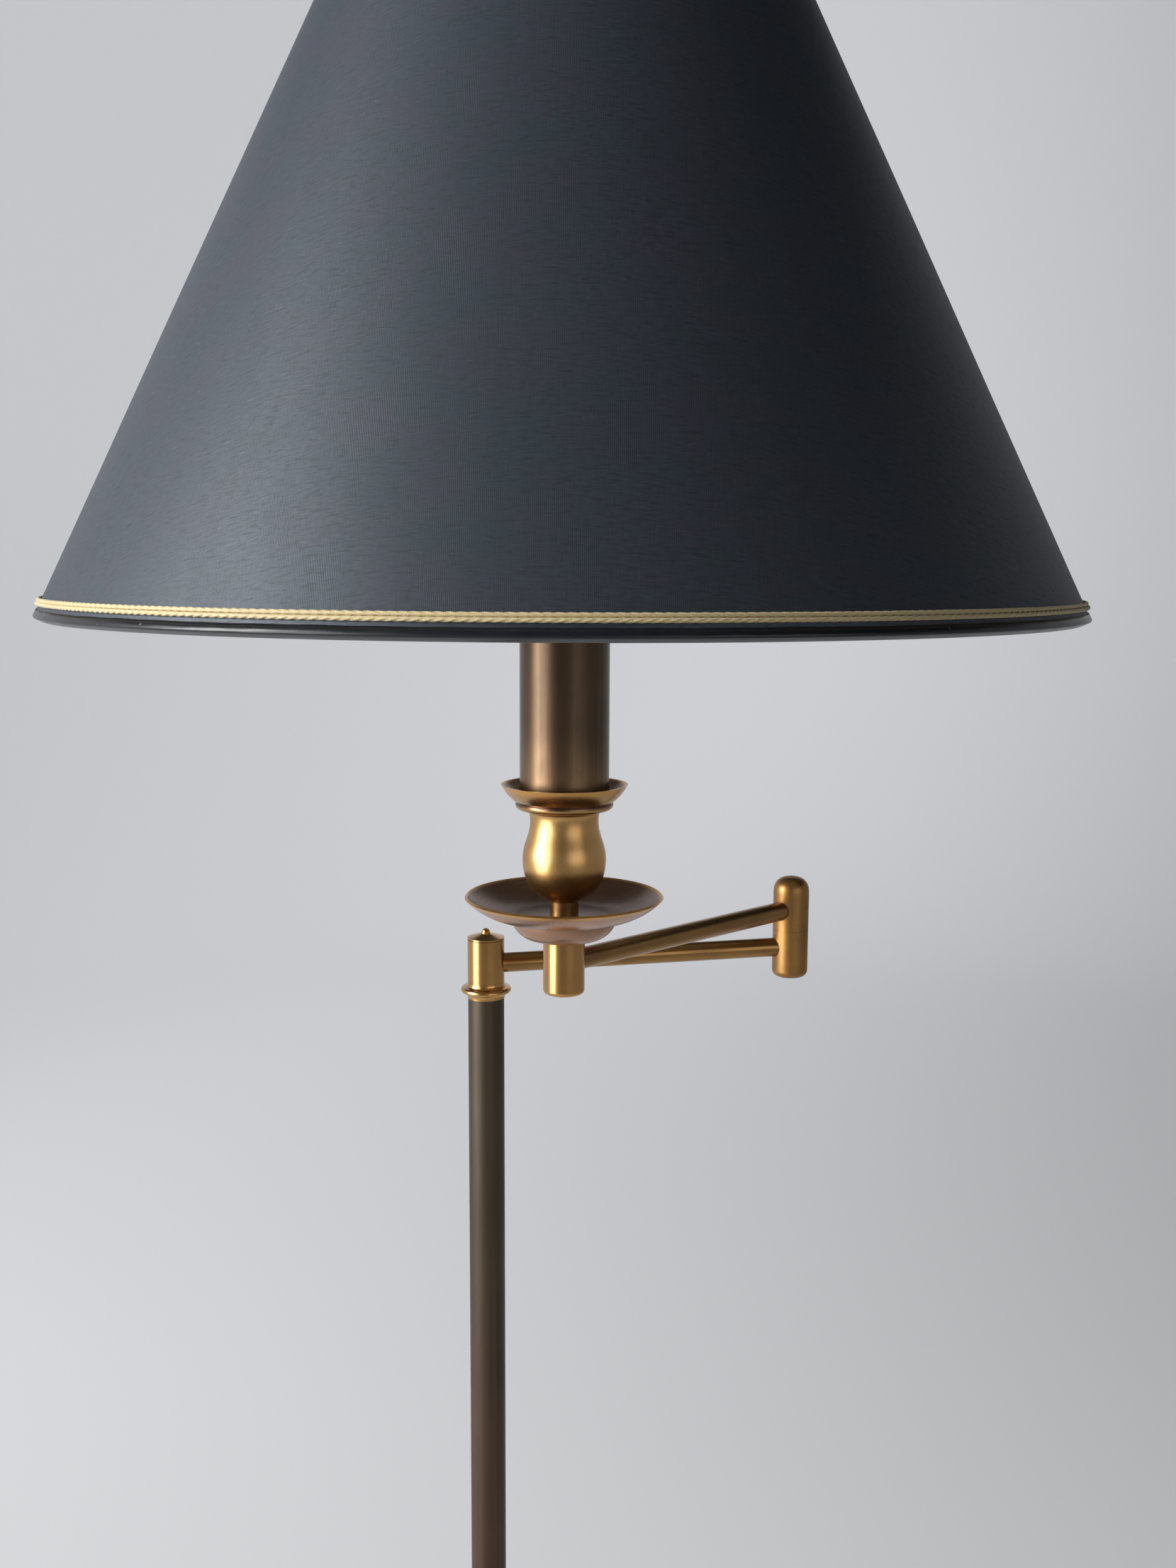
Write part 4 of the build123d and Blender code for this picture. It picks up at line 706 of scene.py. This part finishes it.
class LampMetals(bpy.types.PropertyGroup):
    """Colours of the metals."""

    bronze: colour_setting("Bronze", "Patina of the pole", (0.100, 0.080, 0.057))
    # Painted reflection of the room on the pole near the floor
    bronze_reflected_red: colour_setting("Red bronze", "Patina of the pole near the floor", (0.119, 0.066, 0.045))
    satin: colour_setting("Satin brass", "Arms, hubs, elbow and small fittings", (0.62, 0.335, 0.105))
    polished: colour_setting("Polished brass", "Vase, its neck and the cup's outside", (0.68, 0.405, 0.155))
    aged: colour_setting("Aged brass", "Candle tube and base", (0.105, 0.063, 0.031))
    rose: colour_setting("Rose brass", "Dish, its foot and the cup's inside", (0.17, 0.098, 0.064))
    socket: colour_setting("Socket brass", "Socket, harp and saddle", (0.62, 0.42, 0.18))


class LampCloth(bpy.types.PropertyGroup):
    """Colours and sizes of the soft pieces."""

    cloth_colour: colour_setting("Cloth", "Slate cloth of the shade", (0.031, 0.037, 0.050))
    cloth_sheen: FloatProperty(
        name="Cloth sheen", description="Sheen of the cloth", subtype="FACTOR", min=0, max=1, default=0.10
    )
    weave_pitch: length_setting("Weave pitch", "Distance between threads", 0.65 * MM)
    slub_depth: length_setting("Slub depth", "Height of the thick threads", 0.08 * MM)
    lap_width: length_setting("Lap", "Overlap of the cloth at the back", 10 * MM)
    cloth_ripple: length_setting("Ripple", "Unevenness of the cloth", 0.08 * MM)
    tape_colour: colour_setting("Tape", "Binding tape", (0.012, 0.014, 0.018))
    tape_outer_width: length_setting("Tape width", "Width of the tape outside", 3.0 * MM)
    tape_thickness: length_setting("Tape thickness", "Thickness of the tape", 0.3 * MM)
    tape_fold: length_setting("Tape fold", "Radius of the fold outside", 0.9 * MM)
    tape_slit: length_setting("Tape slit", "Width of the slits for the spider", 5 * MM)
    cord_colour: colour_setting("Cord", "Gold cord trim", (0.88, 0.72, 0.40))
    cord_diameter: length_setting("Cord diameter", "Thickness of one cord", 1.8 * MM)
    cord_edge: length_setting("Cord edge", "Way from the shade's edge to the nearer cord", 4.5 * MM)
    cord_lay: length_setting("Cord lay", "Length of one twist of the cord", 3.9 * MM)
    lining_colour: colour_setting("Lining", "Sheet inside the shade", (0.80, 0.77, 0.70))
    felt_colour: colour_setting("Felt", "Felt under the base", (0.020, 0.030, 0.024))


class LampStudio(bpy.types.PropertyGroup):
    """The camera, the backdrop and the lights."""

    camera_place: FloatVectorProperty(
        name="Camera", description="Where the photograph was taken from", subtype="TRANSLATION",
        unit="LENGTH", size=3, default=(0.0532, -0.8012, 1.1810),
    )
    camera_pitch: FloatProperty(
        name="Pitch", description="How far the camera looks down", unit="ROTATION", default=math.radians(8.196)
    )
    camera_roll: FloatProperty(
        name="Roll", description="How far the camera leans", unit="ROTATION", default=math.radians(0.271)
    )
    camera_lens: FloatProperty(
        name="Lens", description="Focal length for a 36 mm long side", unit="CAMERA", default=35.92
    )
    sweep_colour: colour_setting("Backdrop", "Floor and backdrop", (0.60, 0.61, 0.63))
    sweep_glow: colour_setting(
        "Backdrop glow", "What the backdrop adds to its own light where it is seen", (0.50, 0.51, 0.53)
    )
    sweep_shade: colour_setting(
        "Shaded glow", "The same on the side of the studio away from the window", (0.15, 0.15, 0.155)
    )
    sweep_radius: length_setting("Sweep radius", "Reach of the floor before it curves up", 5.2)
    sweep_curve: length_setting("Sweep curve", "Radius of the curve into the wall", 1.6)
    sweep_height: length_setting("Sweep height", "Height of the wall", 4.2)
    window_power: power_setting("Window", "Power of the light from the left", 63)
    side_power: power_setting("Side", "Power of the narrow light between window and camera", 18)
    card_power: power_setting("Gloss card", "Power of the low card that shows only in gloss", 28)
    fill_power: power_setting("Fill", "Power of the light from the right", 6)
    sky_colour: colour_setting("Sky", "Even light from above", (0.80, 0.86, 0.95))
    sky_strength: FloatProperty(
        name="Sky strength", description="Strength of the even light", min=0, default=0.02
    )


# Operators


class LampOperator(bpy.types.Operator):
    """What every step of dressing the lamp shares."""

    bl_options = {"REGISTER", "UNDO"}

    @staticmethod
    def metals(context):
        return context.scene.lamp_metals

    @staticmethod
    def cloth(context):
        return context.scene.lamp_cloth


class LAMP_OT_stand(LampOperator):
    """Finish the weighted base, the pole and the pole's brass fittings"""

    bl_idname = "lamp.stand"
    bl_label = "Base and pole"

    def execute(self, context):
        metals = self.metals(context)
        base = lathe_metal("base_brass", scaled(metals.aged, 1.4), roughness=0.34, tarnish=0.5)
        fittings = lathe_metal("stand_brass", metals.satin, roughness=0.22, tarnish=0.35, lacquer=0.6)
        dress(base, "base_shell")
        dress(pole_bronze(metals), "pole_tube")
        dress(fittings, "pole_seat", "pole_collar", "pole_cap")
        dress(cast_iron(), "base_weight")
        return {"FINISHED"}


class LAMP_OT_arms(LampOperator):
    """Finish both swing arms with their hubs, knuckles and dome"""

    bl_idname = "lamp.arms"
    bl_label = "Swing arms"

    def execute(self, context):
        metals = self.metals(context)
        dull = scaled(metals.satin, 0.62)
        hubs = lathe_metal("hub_brass", metals.satin, roughness=0.22, tarnish=0.3, lacquer=0.45)
        elbow = lathe_metal("elbow_brass", dull, roughness=0.42, tarnish=0.5, lacquer=0.2)
        dress(hubs, "pole_hub", "thrust_washer", "head_hub", "head_plug")
        dress(elbow, "lower_knuckle", "elbow_plug", "elbow_washer", "upper_knuckle", "elbow_dome")
        dress(arm_brass(metals), "lower_arm_tube", "upper_arm_tube")
        return {"FINISHED"}


class LAMP_OT_candle(LampOperator):
    """Finish the turned stack of dish, vase, cup and candle tube"""

    bl_idname = "lamp.candle"
    bl_label = "Candle stack"

    def execute(self, context):
        metals = self.metals(context)
        polished = lathe_metal("vase_brass", metals.polished, roughness=0.31, tarnish=0.55, lacquer=0.1)
        foot = lathe_metal("foot_brass", scaled(metals.rose, 2.6), roughness=0.27, lacquer=0.2)
        dress(polished, "neck_spacer", "vase")
        dress(foot, "dish_foot")
        dress(spun_brass(metals, "drip_dish", scaled(metals.rose, 2.8)), "drip_dish")
        dress(spun_brass(metals, "candle_cup", scaled(metals.polished, 0.75)), "candle_cup")
        dress(candle_bronze(metals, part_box("candle_tube")[0].z), "candle_tube", "tube_cap")
        return {"FINISHED"}


class LAMP_OT_socket(LampOperator):
    """Finish the socket, the bulb, the harp and the finial"""

    bl_idname = "lamp.socket"
    bl_label = "Socket, bulb and harp"

    def execute(self, context):
        metals = self.metals(context)
        brass = lathe_metal("socket_brass", metals.socket, roughness=0.24)
        knob = lathe_metal("finial_brass", metals.satin, roughness=0.24)
        dress(
            brass, "socket_cap", "socket_shell", "screw_shell", "harp_saddle", "harp", "harp_sleeves", "bulb_base"
        )
        dress(knob, "finial")
        dress(frosted_glass(), "bulb_glass")
        return {"FINISHED"}


class LAMP_OT_hardware(LampOperator):
    """Finish the fittings of steel, fibre and black moulding"""

    bl_idname = "lamp.hardware"
    bl_label = "Nuts, springs and washers"

    def execute(self, context):
        dress(
            bare_steel(),
            "clamp_washer", "clamp_nut", "pole_pipe", "pivot_stem", "pole_spring", "elbow_pin", "elbow_spring",
            "elbow_nut", "head_nut", "head_pipe", "center_contact", "bottom_ring", "shade_spider",
        )
        dress(pressed_fibre(), "socket_liner")
        dress(moulded_black(), "cord_bushing", "socket_body", "switch_key")
        return {"FINISHED"}


class LAMP_OT_felt(LampOperator):
    """Put a felt disc in the place of the base's plain one"""

    bl_idname = "lamp.felt"
    bl_label = "Felt"

    def execute(self, context):
        piece, radius = felt_piece()
        stand_for(piece, "base", "felt", pressed_felt(self.cloth(context)), "base_felt")
        return {"FINISHED"}


class LAMP_OT_shade(LampOperator):
    """Wrap the cloth round the shade and finish its lining"""

    bl_idname = "lamp.shade"
    bl_label = "Shade cloth"

    def execute(self, context):
        cloth = self.cloth(context)
        cone = ShadeCone(SHADE_NODE)
        piece = cloth_piece(cloth, cone)
        stand_for(piece, "shade", "shade_cloth", shade_fabric(cloth, cone), SHADE_NODE)
        outer = cone.slant * cone.bottom_radius / cone.run
        inner = outer - cone.slant
        half_angle = math.pi * cone.run / cone.slant
        width = 2 * outer * math.sin(min(half_angle, math.pi / 2))
        length = outer - inner * math.cos(half_angle)
        area = math.pi * (cone.bottom_radius + cone.top_radius) * cone.slant
        dress(lining_sheet(cloth), "shade_backing")
        return {"FINISHED"}


SPIDER_SPOKES = 3


class LAMP_OT_bindings(LampOperator):
    """Fold binding tape over both edges of the shade"""

    bl_idname = "lamp.bindings"
    bl_label = "Binding tapes"

    def execute(self, context):
        cloth = self.cloth(context)
        cone = ShadeCone(SHADE_NODE)
        tape = glossy_tape(cloth)
        spokes = [math.pi + TURN * spoke / SPIDER_SPOKES for spoke in range(SPIDER_SPOKES)]
        edges = (
            ("bottom_tape", "bottom_binding", 0.0, 1, (), cone.bottom_radius),
            ("top_tape", "top_binding", cone.slant, -1, spokes, cone.top_radius),
        )
        for name, node, edge, inward, slits, radius in edges:
            piece, width = tape_piece(cloth, cone, name, node, edge, inward, slits)
            stand_for(piece, "shade", "binding_tape", tape, node)
            TURN * radius
        return {"FINISHED"}


class LAMP_OT_trim(LampOperator):
    """Lay the pairs of gold cord round both edges of the shade"""

    bl_idname = "lamp.trim"
    bl_label = "Gold cord trim"

    def execute(self, context):
        cloth = self.cloth(context)
        cone = ShadeCone(SHADE_NODE)
        yarn = gold_yarn(cloth)
        edges = (("bottom_cords", "bottom_trim", 0.0, 1), ("top_cords", "top_trim", cone.slant, -1))
        for name, node, edge, inward in edges:
            piece = cord_pair(cloth, cone, name, node, edge, inward)
            stand_for(piece, "shade", "gold_cord", yarn, node)
        return {"FINISHED"}


SWEEP_COLUMNS = 96
SWEEP_STEPS = 16
SWEEP_CENTRE = (0.0, -1.6)

# Where the backdrop glows, in metres of the studio: more towards the back left, again in a patch that the
# metals reflect from the right, and less in the pool of light that falls on the floor under the window
GLOW_SLANT = 1.5
GLOW_RANGE = (-2.5, 4.5)
PATCH_SLANT = (0.574, -0.819)
PATCH_RANGE = (6.9, 7.9)
PATCH_SHARE = 0.9
POOL_CENTRE = (-1.4, -0.8)
POOL_RADIUS = 2.4

DAYLIGHT = (1.0, 0.99, 0.97)
WARM_LIGHT = (1.0, 0.97, 0.93)
WINDOW_SPREAD = math.radians(120)
LIT_PLACE = Vector((0.0, 0.0, 1.0))

# Width and height, place and colour of each light
LIGHTS = {
    "window_light": ((1.2, 2.4), (-2.75, -0.95, 2.1), DAYLIGHT),
    "side_light": ((0.6, 2.0), (-2.05, -2.0, 1.75), DAYLIGHT),
    "gloss_card": ((1.6, 0.85), (-2.55, -1.35, 0.5), DAYLIGHT),
    "fill_light": ((2.0, 1.6), (1.6, -2.2, 1.4), WARM_LIGHT),
}

SENSOR_LENGTH = 36  # in mm, along the picture's longer side
CLIP_START = 0.02


class LAMP_OT_studio(LampOperator):
    """Set the backdrop, the lights and the photograph's camera"""

    bl_idname = "lamp.studio"
    bl_label = "Studio"

    def execute(self, context):
        studio = context.scene.lamp_studio
        self.add_sweep(studio)
        self.add_light("window_light", studio.window_power).data.spread = WINDOW_SPREAD
        self.add_light("side_light", studio.side_power)
        self.add_light("gloss_card", studio.card_power).visible_diffuse = False
        self.add_light("fill_light", studio.fill_power)
        self.add_sky(context.scene, studio)
        self.add_camera(context.scene, studio)
        context.scene.view_settings.view_transform = "Standard"
        return {"FINISHED"}

    def add_sweep(self, studio):
        """A pale floor that curves up into a round wall."""
        profile = [(studio.sweep_radius * step / SWEEP_STEPS, 0.0) for step in range(1, SWEEP_STEPS)]
        centre = (studio.sweep_radius, studio.sweep_curve)
        profile += arc(centre, studio.sweep_curve, -math.pi / 2, 0, SWEEP_STEPS)
        profile += [(studio.sweep_radius + studio.sweep_curve, studio.sweep_height)]
        x, y = SWEEP_CENTRE
        angles = [TURN * column / SWEEP_COLUMNS for column in range(SWEEP_COLUMNS)]
        rings = [[Vector((x, y, 0.0))] * SWEEP_COLUMNS]
        for reach, height in profile:
            rings.append([Vector((x + reach * math.cos(a), y + reach * math.sin(a), height)) for a in angles])
        sweep = lofted("studio_sweep", rings, wrap_points=True)
        finish = Finish("studio_paper", Roughness=1.0, Specular_IOR_Level=0.0, Emission_Strength=1.0)
        tone = finish.noise(finish.here(), 0.7, 2)
        across, back = finish.along("X"), finish.along("Y")
        behind = (back - across * GLOW_SLANT).between(*GLOW_RANGE)
        beside = (across * PATCH_SLANT[0] + back * PATCH_SLANT[1]).between(*PATCH_RANGE)
        past_pool = finish.reach_from(*POOL_CENTRE).between(0, POOL_RADIUS)
        lit = (behind + beside * PATCH_SHARE) * past_pool
        glow = finish.mix(finish.seen(), (0, 0, 0), finish.mix(lit, studio.sweep_shade, studio.sweep_glow))
        paper = finish.mix(tone, studio.sweep_colour, scaled(studio.sweep_colour, 0.95))
        sweep.data.materials.append(finish.surface(Base_Color=paper, Emission_Color=glow))

    def add_light(self, name, power):
        """A soft rectangle of light that faces the lamp's arms."""
        size, place, colour = LIGHTS[name]
        light = bpy.data.lights.new(name, "AREA")
        light.shape = "RECTANGLE"
        light.size, light.size_y = size
        light.energy = power
        light.color = colour
        panel = bpy.data.objects.new(name, light)
        panel.location = place
        panel.rotation_euler = (LIT_PLACE - Vector(place)).to_track_quat("-Z", "Y").to_euler()
        panel.visible_camera = False
        bpy.context.scene.collection.objects.link(panel)
        return panel

    def add_sky(self, scene, studio):
        """Even light from above the wall."""
        world = bpy.data.worlds.new("studio_sky")
        world.use_nodes = True
        background = world.node_tree.nodes["Background"]
        background.inputs["Color"].default_value = (*studio.sky_colour, 1)
        background.inputs["Strength"].default_value = studio.sky_strength
        scene.world = world

    def add_camera(self, scene, studio):
        """The photograph's camera, level but for its pitch and a slight lean."""
        camera = bpy.data.cameras.new("photo_camera")
        camera.sensor_width = SENSOR_LENGTH
        camera.lens = studio.camera_lens
        camera.clip_start = CLIP_START
        photo = bpy.data.objects.new("photo_camera", camera)
        aim = Matrix.Rotation(math.pi / 2 - studio.camera_pitch, 4, "X")
        lean = Matrix.Rotation(studio.camera_roll, 4, "Z")
        photo.matrix_world = Matrix.Translation(studio.camera_place) @ aim @ lean
        scene.collection.objects.link(photo)
        scene.camera = photo


STEPS = (
    LAMP_OT_studio,
    LAMP_OT_stand,
    LAMP_OT_arms,
    LAMP_OT_candle,
    LAMP_OT_socket,
    LAMP_OT_hardware,
    LAMP_OT_felt,
    LAMP_OT_shade,
    LAMP_OT_bindings,
    LAMP_OT_trim,
)


class LAMP_PT_panel(bpy.types.Panel):
    """Lists the steps and settings of the lamp"""

    bl_idname = "LAMP_PT_panel"
    bl_label = "Swing arm floor lamp"
    bl_space_type = "VIEW_3D"
    bl_region_type = "UI"
    bl_category = "Lamp"

    def draw(self, context):
        for step in STEPS:
            self.layout.operator(step.bl_idname)
        for group in (context.scene.lamp_metals, context.scene.lamp_cloth, context.scene.lamp_studio):
            box = self.layout.box()
            for name in group.bl_rna.properties.keys():
                if name not in {"rna_type", "name"}:
                    box.prop(group, name)


GROUPS = {"lamp_metals": LampMetals, "lamp_cloth": LampCloth, "lamp_studio": LampStudio}


def register():
    for group in GROUPS.values():
        bpy.utils.register_class(group)
    for name, group in GROUPS.items():
        setattr(bpy.types.Scene, name, PointerProperty(type=group))
    for step in STEPS:
        bpy.utils.register_class(step)
    bpy.utils.register_class(LAMP_PT_panel)


def unregister():
    bpy.utils.unregister_class(LAMP_PT_panel)
    for step in reversed(STEPS):
        bpy.utils.unregister_class(step)
    for name, group in GROUPS.items():
        delattr(bpy.types.Scene, name)
        bpy.utils.unregister_class(group)


def main():
    register()
    bpy.ops.lamp.studio()
    bpy.ops.lamp.stand()
    bpy.ops.lamp.arms()
    bpy.ops.lamp.candle()
    bpy.ops.lamp.socket()
    bpy.ops.lamp.hardware()
    bpy.ops.lamp.felt()
    bpy.ops.lamp.shade()
    bpy.ops.lamp.bindings()
    bpy.ops.lamp.trim()


if __name__ == "__main__":
    main()
